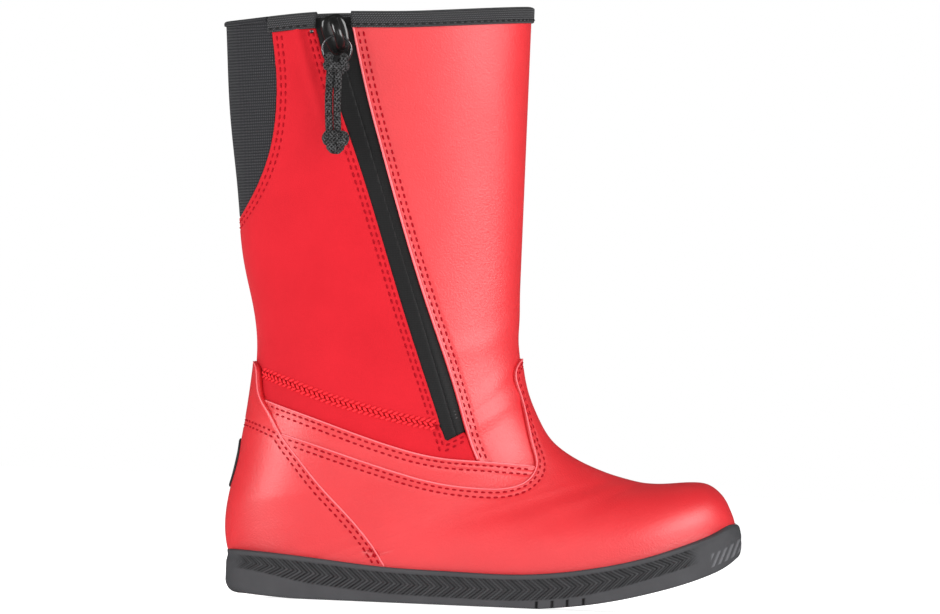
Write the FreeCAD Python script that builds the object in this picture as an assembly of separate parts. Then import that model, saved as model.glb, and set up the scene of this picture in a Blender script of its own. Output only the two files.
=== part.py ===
import FreeCAD, Part
import math
import os

from FreeCAD import Vector

os.makedirs("parts", exist_ok=True)

# Driving dimensions, in millimetres. X runs to the toe, Z is up, the ground is Z = 0.
LAYER = 1.2                 # thickness of one leather, softshell or lining layer
HEEL_END = -91.0            # back of the upper where it meets the sole
TOE_END = 88.8              # front of the upper
HEEL_HALF = 24.5
BALL_HALF = 33.5
SOLE_HEEL = -92.9
SOLE_TOE = 92.1
SOLE_LIP = 3.4              # how far the sole stands outside the base layer
BINDING_HEIGHT = 5.9
CAP = 0.9                   # binding over the cut edges
WIDE = 80.0                 # half width of the cutting prisms
RIB_POINTS = 28
TAPE_HALF = 5.0
PANEL_TO_ZIP = 5.2
LINING_TO_ZIP = 6.6
CORD_DIAMETER = 2.8
RING_RADIUS = 5.2
RING_WIRE = 0.4
STRAND = 1.5                # half the distance between the cord's two strands
KNOT_RADIUS = 4.7
KNOT_FROM_RING = Vector(0.9, -1.3, -27.4)
WRAP_RADIUS = 2.9
WRAP_LENGTH = 9.6
WRAP_GAP = 0.3              # between the ring's wire and the wrap
BOARD_GAP = 0.1
BADGE_HALF = 5.5
BADGE_HEIGHT = 47.5
BADGE_PROUD = 0.7
GORE_HEM = 1.7
BINDING_BACK = -86.2        # where the binding gives way to the gore
BINDING_BEHIND_ZIP = 6.1
BINDING_BEFORE_ZIP = 7.4
TAPE_START = 6.4            # measured down the zip from its top
FLAP_TAPE_END = 128
TAPE_GAP = 0.6
TAPE_LEVELS = (-1.1, -0.3)
COIL_RADIUS = 0.9
COIL_SIDE = 1.6
COIL_DEPTH = -2.1
HANG = Vector(8.9, 0.6, 6.0)    # where the ring hangs: down the zip, towards the toe, outwards

# Bounds of the cutting prisms in side view, well clear of the boot.
FAR_BACK = -130
AHEAD = 60
FAR_UP = 240
FAR_DOWN = -20
ROOF = [(AHEAD, FAR_UP), (FAR_BACK, FAR_UP)]

# Zip centre line, and the line that the flap folds about (x, y, z).
ZIP_TOP = Vector(-64.1, -33.2, 210.9)
ZIP_BOTTOM = Vector(-11.7, -27.6, 60.7)
FOLD_BOTTOM = (-17.0, 64.2)
FOLD_TOP = (-85.3, 207.5)
FLAP_FOOT = 88.0
FOLD_GAP = 1.6

# Ribs of the upper: front x, z, back x, z, half width, widest place, back power,
# front power, share of the foot plan.
RIBS = [
    (8.8, 232, -104.2, 222, 34.4, .50, 2.2, 2.1, 0),
    (8.8, 215.8, -101.4, 206.1, 33.8, .50, 2.2, 2.1, 0),
    (8.8, 185, -98.9, 176, 33.0, .50, 2.2, 2.1, 0),
    (8.8, 155, -95.0, 148, 31.4, .50, 2.2, 2.1, 0),
    (8.8, 128, -91.8, 124, 30.4, .50, 2.2, 2.1, 0),
    (8.8, 106, -87.4, 106, 30.2, .50, 2.2, 2.1, 0),
    (9.2, 92, -85.0, 91, 30.6, .49, 2.2, 2.1, 0),
    (11.4, 79.5, -85.5, 77, 31.0, .47, 2.2, 2.1, 0),
    (15.0, 70.2, -87.2, 62, 31.2, .44, 2.2, 2.1, 0),
    (20.0, 61.5, -89.6, 47, 30.8, .41, 2.2, 2.1, 0),
    (26.0, 56.0, -92.2, 33, 30.0, .38, 2.3, 2.1, .1),
    (32.5, 52.3, -92.2, 21, 29.2, .35, 2.5, 2.1, .4),
    (38.5, 49.8, -88.8, 11.8, 28.8, .32, 3.2, 2.1, .8),
    (43.5, 48.1, -81.0, 8.2, 28.6, .30, 4.5, 2.1, 1),
    (48.0, 46.9, -66.0, 7.7, 29.5, .28, 6.0, 2.1, 1),
    (52.0, 46.0, -46.0, 7.5, 31.0, .28, 6.0, 2.2, 1),
    (55.5, 45.4, -23.0, 7.4, 32.5, .28, 6.0, 2.2, 1),
    (58.5, 45.2, 2.0, 7.4, 33.5, .30, 6.0, 2.3, 1),
    (61.5, 45.2, 25.0, 8.2, 33.5, .32, 6.0, 2.4, 1),
    (65.5, 45.5, 43.0, 10.4, 33.0, .34, 6.0, 2.5, 1),
    (70.0, 46.0, 57.0, 13.3, 31.5, .36, 5.0, 2.6, 1),
    (74.5, 46.3, 68.0, 16.4, 27.5, .38, 4.0, 2.6, 1),
    (78.6, 45.9, 76.0, 19.0, 21.5, .40, 3.5, 2.6, 1),
    (82.0, 44.0, 81.0, 20.8, 16.5, .42, 3.0, 2.6, 1),
    (84.8, 41.0, 84.6, 22.4, 11.5, .44, 3.0, 2.5, 1),
    (86.4, 37.4, 86.8, 25.0, 7.0, .46, 2.6, 2.4, 1),
]

# Side-view curves (x, z).
TOP_EDGE = [(-112, 205), (-101.8, 206.1), (-69.5, 210.6), (-36, 212.4), (-22.8, 213.4), (9.9, 216.1),
            (22, 216.9)]
GORE_EDGE = [(-86.4, 224), (-85.0, 207), (-82.2, 187.4), (-81.8, 179), (-83.6, 160), (-89.1, 144.1),
             (-97.0, 130)]
FLATLOCK = [(-100, 86.6), (-81.8, 80.3), (-60.3, 72.9), (-38.3, 67.5), (-15.5, 63.8), (-6, 63)]
BAND_TOP = [(-81.0, 71.0), (-67.8, 66.6), (-37.9, 57.1), (-16.4, 52.7), (-3.4, 52.1), (16.7, 50.8)]
VAMP_TOP = [(-74.5, 59.1), (-63.6, 56), (-37.5, 48.4), (-16, 43.5), (-3, 42.3), (8, 42.8), (16.7, 50.8)]
VAMP_PEAK = [(16.7, 50.8), (15.2, 57.1), (12.6, 65.7), (9.2, 77), (7.3, 84.5), (10.5, 90.5), (22, 96)]
COUNTER_TAB = [(-96, 86.5), (-84.8, 84.8), (-82.6, 79.5), (-81.0, 71.0)]
COUNTER_MID = [(-81.0, 71.0), (-78.4, 66.4), (-74.5, 59.1)]
COUNTER_LOW = [(-74.5, 59.1), (-68.5, 51.3), (-61.3, 42.7), (-51.2, 32.5), (-42.5, 23.1), (-33.3, 9),
               (-30, 2)]
UNDERLAP = [(-78, 62.3), (-66, 50), (-50, 43.5), (-16, 38.5), (6, 37.3), (17, 42), (21, 50), (19, 62),
            (16, 72), (24, 80)]
SOLE_TOP_EDGE = [(-96, 16.9), (-64.6, 15.1), (-37.5, 12.7), (-10.4, 12.0), (11.2, 11.9), (27.4, 13.3),
                 (43.5, 16.1), (59.5, 20.2), (75.4, 25.8), (85.5, 30.4), (89, 32.4), (96, 33.6)]
HEEL_RISE = [(-96, 8), (-92.8, 6), (-90, 2.6), (-84, 0.9)]
SOLE_UNDER = [(20, 0), (36.5, 1.9), (61.4, 7.5), (82.7, 15.0), (90.2, 19.2), (96, 24.5)]
BOARD_TOP = [(5, 9.4), (30, 10.6), (57, 15.2), (76, 21), (89, 27), (100, 34)]


def smooth(t):
    t = max(0.0, min(1.0, t))
    return t * t * (3 - 2 * t)


def plan_half(x, heel, toe, extra):
    """Half width of the foot at x, round at both ends."""
    width = HEEL_HALF + (BALL_HALF - HEEL_HALF) * smooth((x + 60) / 100.0) + extra
    back = min(1.0, max(0.0, (x - heel) / 33.0))
    front = min(1.0, max(0.0, (toe - x) / 43.0))
    round_back = (1 - (1 - back) ** 2.3) ** (1 / 2.3)
    round_front = (1 - (1 - front) ** 2.2) ** (1 / 2.2)
    return width * round_back * round_front


def plan_centre(x):
    """The forefoot leans to the inner side."""
    return 3.5 * smooth((x - 12) / 70.0)


def power(value, exponent):
    return math.copysign(abs(value) ** exponent, value)


def inward(points, index, side):
    """Unit normal of the side outline at one rib end, towards the foot."""
    low = points[max(0, index - 1)]
    high = points[min(len(points) - 1, index + 1)]
    dx = high[0] - low[0]
    dz = high[1] - low[1]
    size = math.hypot(dx, dz)
    return (side * dz / size, -side * dx / size)


def rib_curve(index, depth):
    """Closed section curve of the upper, a given depth inside the base layer's outer face."""
    fronts = [(rib[0], rib[1]) for rib in RIBS]
    backs = [(rib[2], rib[3]) for rib in RIBS]
    _, _, _, _, half, widest, back_power, front_power, share = RIBS[index]
    nf = inward(fronts, index, 1)
    nb = inward(backs, index, -1)
    fx = fronts[index][0] + nf[0] * depth
    fz = fronts[index][1] + nf[1] * depth
    bx = backs[index][0] + nb[0] * depth
    bz = backs[index][1] + nb[1] * depth
    points = []
    for step in range(RIB_POINTS):
        angle = 2 * math.pi * step / RIB_POINTS + math.pi / 2
        along = math.cos(angle)
        across = math.sin(angle)
        exponent = front_power if along >= 0 else back_power
        reach = (1 - widest) if along >= 0 else widest
        place = widest + reach * power(along, 2 / exponent)
        x = bx + (fx - bx) * place
        z = bz + (fz - bz) * place
        foot = plan_half(x, HEEL_END + depth, TOE_END - depth, -depth)
        width = (1 - share) * (half - depth) + share * foot
        y = plan_centre(x) - width * power(across, 2 / exponent)
        points.append(Vector(x, y, z))
    curve = Part.BSplineCurve()
    knots = [step / RIB_POINTS for step in range(RIB_POINTS + 1)]
    curve.interpolate(Points=points, Parameters=knots, PeriodicFlag=True)
    curve.setNotPeriodic()
    return curve


def body_at(depth):
    """Solid of everything inside the upper's surface at one depth, skinned over its ribs."""
    curves = [rib_curve(index, depth) for index in range(len(RIBS))]
    places = [index / (len(RIBS) - 1) for index in range(len(RIBS))]
    columns = []
    for column in zip(*[curve.getPoles() for curve in curves]):
        rail = Part.BSplineCurve()
        rail.interpolate(Points=list(column), Parameters=places)
        columns.append(rail)
    first = curves[0]
    rail = columns[0]
    skin = Part.BSplineSurface()
    skin.buildFromPolesMultsKnots([column.getPoles() for column in columns],
                                  first.getMultiplicities(), rail.getMultiplicities(),
                                  first.getKnots(), rail.getKnots(), False, False, 3, 3)
    faces = []
    for side in ((0.0, 0.5), (0.5, 1.0)):
        half = skin.copy()
        half.segment(side[0], side[1], 0.0, 1.0)
        faces.append(half.toShape())
    for curve in (curves[0], curves[-1]):
        halves = [curve.toShape(0.0, 0.5), curve.toShape(0.5, 1.0)]
        faces.append(Part.Face(Part.Wire(halves)))
    shell = Part.makeShell(faces)
    shell.sewShape()
    solid = Part.makeSolid(shell)
    if solid.Volume < 0:
        solid.reverse()
    return solid


def outline(*runs):
    """Closed side-view wire; a run of two points is straight, a longer one is a spline."""
    edges = []
    ends = []
    for run in runs:
        points = [Vector(x, 0, z) for x, z in run]
        if ends and ends[-1].distanceToPoint(points[0]) > 1e-6:
            edges.append(Part.LineSegment(ends[-1], points[0]).toShape())
        if len(points) == 2:
            edges.append(Part.LineSegment(points[0], points[1]).toShape())
        else:
            curve = Part.BSplineCurve()
            curve.interpolate(points)
            edges.append(curve.toShape())
        ends.append(points[-1])
    first = Vector(runs[0][0][0], 0, runs[0][0][1])
    if ends[-1].distanceToPoint(first) > 1e-6:
        edges.append(Part.LineSegment(ends[-1], first).toShape())
    return Part.Wire(edges)


def prism(low_y, high_y, *runs):
    """Side-view outline extruded across the boot."""
    face = Part.Face(outline(*runs))
    solid = face.extrude(Vector(0, high_y - low_y, 0))
    solid.translate(Vector(0, low_y, 0))
    return solid


def both(*runs):
    return prism(-WIDE, WIDE, *runs)


def outer_side(*runs):
    return prism(-WIDE, 0, *runs)


def inner_side(*runs):
    return prism(0, WIDE, *runs)


def lower(points, drop):
    return [(x, z - drop) for x, z in points]


def back(points):
    return list(reversed(points))


def offset_line(start, end, shift):
    """A straight side-view line moved square to itself, positive towards the toe."""
    dx = end[0] - start[0]
    dz = end[1] - start[1]
    size = math.hypot(dx, dz)
    nx = dz / size * shift
    nz = -dx / size * shift
    if nx * shift < 0:
        nx = -nx
        nz = -nz
    return [(start[0] + nx, start[1] + nz), (end[0] + nx, end[1] + nz)]


def stretch(line, low, high):
    """A side-view line made longer at both ends."""
    (x0, z0), (x1, z1) = line
    size = math.hypot(x1 - x0, z1 - z0)
    ux = (x1 - x0) / size
    uz = (z1 - z0) / size
    return [(x0 - ux * low, z0 - uz * low), (x1 + ux * high, z1 + uz * high)]


def export(name, shape):
    solids = [solid for solid in shape.Solids if solid.Volume > 0.5]
    result = solids[0] if len(solids) == 1 else Part.makeCompound(solids)
    print(name, len(solids), "solids", round(result.Volume, 1), "mm3", result.isValid())
    result.exportStep("parts/" + name + ".step")


# Nested surfaces and the layers between them.
over_body = body_at(-LAYER)
base_body = body_at(0)
lining_body = body_at(LAYER)
room_body = body_at(2 * LAYER)
over = over_body.cut(base_body)
base = base_body.cut(lining_body)
lining = lining_body.cut(room_body)
wall = over_body.cut(room_body)

# Side-view regions shared by several pieces.
zip_bottom = (ZIP_BOTTOM.x, ZIP_BOTTOM.z)
zip_top = (ZIP_TOP.x, ZIP_TOP.z)
zip_line = stretch([zip_bottom, zip_top], 0, 20)
behind_zip = stretch(offset_line(zip_bottom, zip_top, -PANEL_TO_ZIP), 0, 20)
before_zip = stretch(offset_line(zip_bottom, zip_top, PANEL_TO_ZIP), 0, 20)
lining_behind = stretch(offset_line(zip_bottom, zip_top, -LINING_TO_ZIP), 0, 20)
lining_before = stretch(offset_line(zip_bottom, zip_top, LINING_TO_ZIP), 0, 20)
fold_line = stretch([FOLD_BOTTOM, FOLD_TOP], 0, 20)
under_cap = both([(FAR_BACK, -10), (AHEAD, -10)], [(AHEAD, 150), (AHEAD, 230)], back(lower(TOP_EDGE, CAP)),
                 [(FAR_BACK, 204), (FAR_BACK, -10)])
under_binding = lower(TOP_EDGE, BINDING_HEIGHT)
above_cap = both(lower(TOP_EDGE, CAP), back(TOP_EDGE))
binding_band = both(under_binding, back(TOP_EDGE))
board_flat = [(FAR_BACK, BOARD_TOP[0][1]), BOARD_TOP[0]]
above_board = both(board_flat, BOARD_TOP, [BOARD_TOP[-1], (100, FAR_UP)],
                   [(100, FAR_UP), (FAR_BACK, FAR_UP)])
below_board = both(lower(board_flat, BOARD_GAP), lower(BOARD_TOP, BOARD_GAP),
                   [lower(BOARD_TOP, BOARD_GAP)[-1], (100, FAR_DOWN)],
                   [(100, FAR_DOWN), (FAR_BACK, FAR_DOWN)])


# Sole.
def plan_prism(heel, toe, extra, low, high):
    """Foot plan extruded upwards."""
    count = 40
    xs = [heel + (toe - heel) * (1 - math.cos(math.pi * i / count)) / 2 for i in range(count + 1)]
    left = [Vector(x, plan_centre(x) - plan_half(x, heel, toe, extra), low) for x in xs]
    right = [Vector(x, plan_centre(x) + plan_half(x, heel, toe, extra), low) for x in xs]
    loop = left + back(right)[1:-1]
    curve = Part.BSplineCurve()
    curve.interpolate(Points=loop, PeriodicFlag=True)
    return Part.Face(Part.Wire([curve.toShape()])).extrude(Vector(0, 0, high - low))


sole_side = both(HEEL_RISE, [(-84, 0.9), (-66, 0)], [(-66, 0), (20, 0)], SOLE_UNDER, back(SOLE_TOP_EDGE))
sole_block = plan_prism(SOLE_HEEL, SOLE_TOE, SOLE_LIP, -5, 45).common(sole_side)
foam_side = both([(-90, 3.5), (20, 3.5)], [(20, 3.5), (40, 5.6), (61, 11.4), (80, 18)],
                 [(80, 18), (80, 30)], [(80, 30), (-90, 30)])
foam_plan = plan_prism(SOLE_HEEL + 11, SOLE_TOE - 16, SOLE_LIP - 11, -5, 45)
midsole_foam = foam_plan.common(foam_side).cut(base_body).common(sole_block)
margin_cut = plan_prism(SOLE_HEEL + 11, SOLE_TOE - 16, SOLE_LIP - 11, -5, 9)
outsole = sole_block.cut(over_body).cut(midsole_foam)
export("outsole", outsole)
board_layer = base_body.common(below_board)
export("lasting_board", board_layer)
foot_room = room_body.common(above_board)
footbed_top = both([(FAR_BACK, 0), (-60, 0)], [(-60, 0), (110, 0)], [(110, 0), (110, 30.5)],
                   [(110, 30.5), (70, 24), (40, 16.5), (10, 13.6), (-30, 14.6), (-60, 14.2),
                    (FAR_BACK, 14.2)])
export("footbed", foot_room.common(footbed_top))

# Stiffeners and interlining in the base layer.
foot_base = base.common(above_board)
below_underlap = both([(FAR_BACK, 62.3), (-78, 62.3)], UNDERLAP, [(24, 80), (110, 80)],
                      [(110, 80), (110, 0)], [(110, 0), (FAR_BACK, 0)])
foot_layer = foot_base.common(below_underlap)
behind_heel_line = both([(FAR_BACK, 0), (-52, 0)], [(-52, 0), (-60, 30)], [(-60, 30), (-72, 70)],
                        [(-72, 70), (FAR_BACK, 70)])
before_toe_line = both([(56, FAR_DOWN), (62, 70)], [(62, 70), (110, 70)], [(110, 70), (110, FAR_DOWN)])
export("heel_stiffener", foot_layer.common(behind_heel_line))
export("toe_puff", foot_layer.common(before_toe_line))
export("vamp_interlining", foot_layer.cut(behind_heel_line).cut(before_toe_line))

# Leather overlays of the foot, with their margins turned under the board.
over_trim = over.cut(margin_cut)
counter_area = both(COUNTER_TAB, COUNTER_MID, COUNTER_LOW, [(-30, 2), (-30, FAR_DOWN)],
                    [(-30, FAR_DOWN), (FAR_BACK, FAR_DOWN)], [(FAR_BACK, FAR_DOWN), (FAR_BACK, 86.5)])
band_area = both(BAND_TOP, back(VAMP_TOP), back(COUNTER_MID))
vamp_area = both(VAMP_TOP, VAMP_PEAK, [(22, 96), (120, 96)], [(120, 96), (120, FAR_DOWN)],
                 [(120, FAR_DOWN), (-30, FAR_DOWN)], [(-30, FAR_DOWN), (-30, 2)], back(COUNTER_LOW))
heel_counter = over_trim.common(counter_area)
vamp = over_trim.common(vamp_area)
export("heel_counter", heel_counter)
export("ankle_band", over.common(band_area))
export("vamp", vamp)
export("midsole_foam", midsole_foam.cut(heel_counter).cut(vamp))
badge_oval = Part.makeCylinder(BADGE_HALF, 14, Vector(-100, 0, 0), Vector(1, 0, 0))
stretch_oval = FreeCAD.Matrix()
stretch_oval.scale(1, 1, 1.6)
badge_oval = badge_oval.transformGeometry(stretch_oval)
badge_oval.translate(Vector(0, 0, BADGE_HEIGHT))
badge_skin = over_body.copy()
badge_skin.translate(Vector(-BADGE_PROUD, 0, 0))
export("heel_badge", badge_oval.common(badge_skin).cut(over_body))

# Shaft panels in the base layer.
shaft_base = base.common(under_cap).cut(below_underlap)
above_flatlock = both(FLATLOCK, [(-6, 63), (AHEAD, 63)], [(AHEAD, 63), (AHEAD, FAR_UP)], ROOF,
                      [(FAR_BACK, FAR_UP), (FAR_BACK, 92)])
gore_area = both(GORE_EDGE, [(-97, 130), (FAR_BACK, 120)], [(FAR_BACK, 120), (FAR_BACK, 224)])
front_outer = outer_side(before_zip, [(AHEAD, FAR_UP), (AHEAD, 20)], [(AHEAD, 20), (1, 20)],
                         [(1, 20), before_zip[0]])
front_inner = inner_side(zip_line, [(AHEAD, FAR_UP), (AHEAD, 20)], [(AHEAD, 20), (6, 20)],
                         [(6, 20), zip_bottom])
zip_slot = outer_side(behind_zip, back(before_zip))
front_panel = shaft_base.common(front_outer).fuse(shaft_base.common(front_inner))
export("front_panel", front_panel)
shaft_rear = shaft_base.common(above_flatlock).cut(gore_area).cut(zip_slot).cut(front_inner)
shaft_rear = shaft_rear.cut(front_outer)
lower_rear = shaft_base.cut(above_flatlock).cut(front_outer).cut(front_inner).cut(zip_slot)
export("lower_rear_panel", lower_rear)
gore_top = both(lower(TOP_EDGE, GORE_HEM), back(TOP_EDGE))
gore = base.common(gore_area)
export("elastic_gore", gore.cut(both(lower(TOP_EDGE, GORE_HEM), [(22, FAR_UP), (FAR_BACK, FAR_UP)])))
gore_hem = wall.common(gore_area).common(gore_top).cut(room_body)

# The flap: what folds open behind the zip.
flap_edge = offset_line(fold_line[0], fold_line[1], FOLD_GAP / 2)
fixed_edge = offset_line(fold_line[0], fold_line[1], -FOLD_GAP / 2)
foot_cut = outer_side([(FAR_BACK, FLAP_FOOT), (AHEAD, FLAP_FOOT)], [(AHEAD, FLAP_FOOT), (AHEAD, FAR_UP)],
                      ROOF)
foot_gap = outer_side([(FAR_BACK, FLAP_FOOT - FOLD_GAP / 2), (AHEAD, FLAP_FOOT - FOLD_GAP / 2)],
                      [(AHEAD, FLAP_FOOT - FOLD_GAP / 2), (AHEAD, FAR_UP)], ROOF)
flap_area = outer_side(flap_edge, [(AHEAD, FAR_UP), (AHEAD, 20)]).common(foot_cut)
flap_clear = outer_side(fixed_edge, [(AHEAD, FAR_UP), (AHEAD, 20)]).common(foot_gap)
rear_outside = shaft_rear.common(outer_side([(FAR_BACK, 0), (AHEAD, 0)], [(AHEAD, 0), (AHEAD, FAR_UP)],
                                            ROOF))
rear_inside = shaft_rear.common(inner_side([(FAR_BACK, 0), (AHEAD, 0)], [(AHEAD, 0), (AHEAD, FAR_UP)],
                                           ROOF))
export("rear_panel_flap", rear_outside.common(flap_area))
export("rear_panel", rear_outside.cut(flap_clear))
export("medial_rear_panel", rear_inside)

# Bindings round the top edge.
binding_shell = over.common(binding_band).fuse(wall.common(above_cap))
binding_rear_area = outer_side(stretch(offset_line(zip_bottom, zip_top, -BINDING_BEHIND_ZIP), -100, 20),
                               [(BINDING_BACK, FAR_UP), (BINDING_BACK, 190)]).common(flap_area)
binding_front_area = outer_side(stretch(offset_line(zip_bottom, zip_top, BINDING_BEFORE_ZIP), -100, 20),
                                [(AHEAD, FAR_UP), (AHEAD, 180)])
binding_inner_area = inner_side([(BINDING_BACK, 180), (AHEAD, 180)], [(AHEAD, 180), (AHEAD, FAR_UP)],
                                [(AHEAD, FAR_UP), (BINDING_BACK, FAR_UP)])
export("top_binding_rear", binding_shell.common(binding_rear_area))
binding_front = binding_shell.common(binding_front_area).fuse(binding_shell.common(binding_inner_area))
export("top_binding_front", binding_front)
export("gore_hem", gore_hem.cut(binding_front))

# Linings.
lining_all = lining.common(under_cap).common(above_board)
lining_zip = outer_side(lining_behind, back(lining_before))
shaft_part = both([(FAR_BACK, 46), (AHEAD, 46)], [(AHEAD, 46), (AHEAD, FAR_UP)], ROOF)
lining_outside = outer_side(lining_behind, [(FAR_BACK, FAR_UP), (FAR_BACK, 62)])
lining_flap = lining_all.common(lining_outside).common(flap_area).cut(gore_area)
export("lining_flap", lining_flap)
lining_shaft = lining_all.common(shaft_part).cut(lining_zip)
lining_shaft = lining_shaft.cut(flap_clear.common(lining_outside).cut(gore_area))
export("lining_shaft", lining_shaft.cut(gore_top.common(gore_area)))
export("lining_foot", lining_all.cut(shaft_part))

# Zip hardware, drawn flat: x down the zip, y towards the toe, z outwards.
down = (ZIP_BOTTOM - ZIP_TOP).normalize()
outwards = Vector(0, -1, 0)
outwards = (outwards - down * outwards.dot(down)).normalize()
across = outwards.cross(down)
turn = FreeCAD.Rotation(down, across, outwards, "ZXY")
zip_place = FreeCAD.Placement(ZIP_TOP, turn)
ZIP_LENGTH = (ZIP_BOTTOM - ZIP_TOP).Length


def on_zip(shape):
    shape.Placement = zip_place.multiply(shape.Placement)
    return shape


def block(x0, x1, y0, y1, z0, z1):
    return Part.makeBox(x1 - x0, y1 - y0, z1 - z0, Vector(x0, y0, z0))


def rod(radius, x0, x1, y, z):
    return Part.makeCylinder(radius, x1 - x0, Vector(x0, y, z), Vector(1, 0, 0))


tape_end = ZIP_LENGTH - 1.5
export("zip_tape_rear", on_zip(block(TAPE_START, FLAP_TAPE_END, -TAPE_HALF, -TAPE_GAP, *TAPE_LEVELS)))
export("zip_tape_front", on_zip(block(TAPE_START, tape_end, TAPE_GAP, TAPE_HALF, *TAPE_LEVELS)))
export("zip_coil_rear", on_zip(rod(COIL_RADIUS, TAPE_START, FLAP_TAPE_END, -COIL_SIDE, COIL_DEPTH)))
export("zip_coil_front", on_zip(rod(COIL_RADIUS, TAPE_START, ZIP_LENGTH - 6, COIL_SIDE, COIL_DEPTH)))
export("zip_tape_lower", on_zip(block(FLAP_TAPE_END + 0.6, tape_end, -3.6, -TAPE_GAP, *TAPE_LEVELS)))
export("zip_bottom_stop", on_zip(block(ZIP_LENGTH - 5.5, ZIP_LENGTH - 3, -2.6, 2.6, -3.0, -1.2)))
guard = block(2, ZIP_LENGTH - 4, -8, 9, -6.2, -5.2).fuse(block(2, ZIP_LENGTH - 4, 7, 9, -5.2, -2.0))
export("zip_guard", on_zip(guard).common(room_body).common(under_cap))
export("zip_top_stop", on_zip(block(4.6, 6.2, -8.8, -6.4, 1.35, 2.2)))

# Slider: body with a post between the coils, and the bail that holds the ring.
plate = block(2.2, 16.0, -4.3, 4.7, 0.8, 2.3)
tips = [edge for edge in plate.Edges if abs(edge.Length - 1.5) < 0.01]
plate = plate.makeFillet(2.2, tips)
post = block(5.5, 9.5, -0.35, 0.35, -3.4, 0.8)
under_plate = block(3.2, 15, -3.4, 3.4, -4.4, -3.4)
export("slider_body", on_zip(plate.fuse(post).fuse(under_plate)))
bail = block(4.2, 13.4, -0.7, 1.9, 2.3, 7.8).cut(block(5.6, 11.8, -2, 3, 1.8, 6.6))
export("slider_bail", on_zip(bail))

# Ring, cord, wrap and knot hang straight down from the bail.
hang = zip_place.multVec(HANG)
ring_centre = hang - Vector(0, 0, RING_RADIUS)
ring = Part.makeTorus(RING_RADIUS, RING_WIRE, ring_centre, Vector(0, 1, 0))
export("pull_ring", ring)
ring_foot = ring_centre - Vector(0, 0, RING_RADIUS)
cord_top = ring_foot + Vector(-0.6, 0, -1.6)
knot_centre = ring_foot + KNOT_FROM_RING
left_low = Vector(cord_top.x - STRAND, cord_top.y, knot_centre.z + 2)
left_high = Vector(cord_top.x - STRAND, cord_top.y, cord_top.z)
right_high = Vector(cord_top.x + STRAND, cord_top.y, cord_top.z)
right_low = Vector(cord_top.x + STRAND, cord_top.y, knot_centre.z + 2)
crown = cord_top + Vector(0, 0, STRAND)
route = Part.Wire([Part.LineSegment(left_low, left_high).toShape(),
                   Part.Arc(left_high, crown, right_high).toShape(),
                   Part.LineSegment(right_high, right_low).toShape()])
section = Part.Wire([Part.Circle(left_low, Vector(0, 0, 1), CORD_DIAMETER / 2).toShape()])
cord = route.makePipeShell([section], True, False)
print("cord length", route.Length)
knot = Part.makeSphere(KNOT_RADIUS, knot_centre)
channel = Part.makeTorus(RING_RADIUS, RING_WIRE + WRAP_GAP, ring_centre, Vector(0, 1, 0))
wrap_end = ring_foot + Vector(-WRAP_LENGTH / 2, 0, 0.4)
wrap = Part.makeCylinder(WRAP_RADIUS, WRAP_LENGTH, wrap_end, Vector(1, 0, 0))
rims = [edge for edge in wrap.Edges if edge.Curve.TypeId == "Part::GeomCircle"]
wrap = wrap.makeFillet(1.6, rims)
export("pull_wrap", wrap.cut(cord).cut(channel))
export("pull_knot", knot)
export("pull_cord", cord.cut(knot).cut(channel))
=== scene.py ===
import math

import bpy
import numpy as np
from mathutils import Matrix, Vector


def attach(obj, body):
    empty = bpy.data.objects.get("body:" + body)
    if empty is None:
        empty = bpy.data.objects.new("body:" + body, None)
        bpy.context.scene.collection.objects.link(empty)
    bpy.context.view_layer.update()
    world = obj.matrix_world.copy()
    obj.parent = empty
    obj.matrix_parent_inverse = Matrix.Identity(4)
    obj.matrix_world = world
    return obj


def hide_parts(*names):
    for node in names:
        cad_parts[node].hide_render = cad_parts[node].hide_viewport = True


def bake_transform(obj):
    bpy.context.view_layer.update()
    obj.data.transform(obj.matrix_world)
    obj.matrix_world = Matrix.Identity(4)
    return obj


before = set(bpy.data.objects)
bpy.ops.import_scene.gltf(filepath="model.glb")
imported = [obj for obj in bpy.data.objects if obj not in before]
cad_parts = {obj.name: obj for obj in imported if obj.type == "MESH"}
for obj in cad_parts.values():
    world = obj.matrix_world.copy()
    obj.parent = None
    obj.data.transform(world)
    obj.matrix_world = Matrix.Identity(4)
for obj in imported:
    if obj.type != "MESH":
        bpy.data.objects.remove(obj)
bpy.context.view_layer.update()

# All shapes below are worked out in millimetres and written in metres.
MM = 0.001
HEEL_END = -91.0
TOE_END = 88.8
HEEL_HALF = 24.5
BALL_HALF = 33.5
SOLE_HEEL = -92.9
SOLE_TOE = 92.1
SOLE_LIP = 3.4
BINDING = 5.9
ROWS = 430                  # grid rows from the top edge to the toe
COLUMNS = 380               # grid columns round the boot
BOOT_STITCH = 2.6           # length of one stitch and its gap, on the foot and the bindings
SHAFT_STITCH = 2.7
FLAP_STITCH = 2.8
THREAD = 0.36               # radius of the red thread
BASE_BACK = 1.15            # depth of the base layer's hidden face
BAND_FACE = -0.75           # depth of the ankle band's outer face, above the base layer
VAMP_FACE = -1.25           # the same for the vamp and the counter
LINING_FACE = 1.3
LINING_BACK = 2.3
TAPE_FACE = 0.6
TAPE_BACK = 1.05
SEAM_FADE = 12              # columns over which the hand-made unevenness fades at the grid's seam

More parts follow.
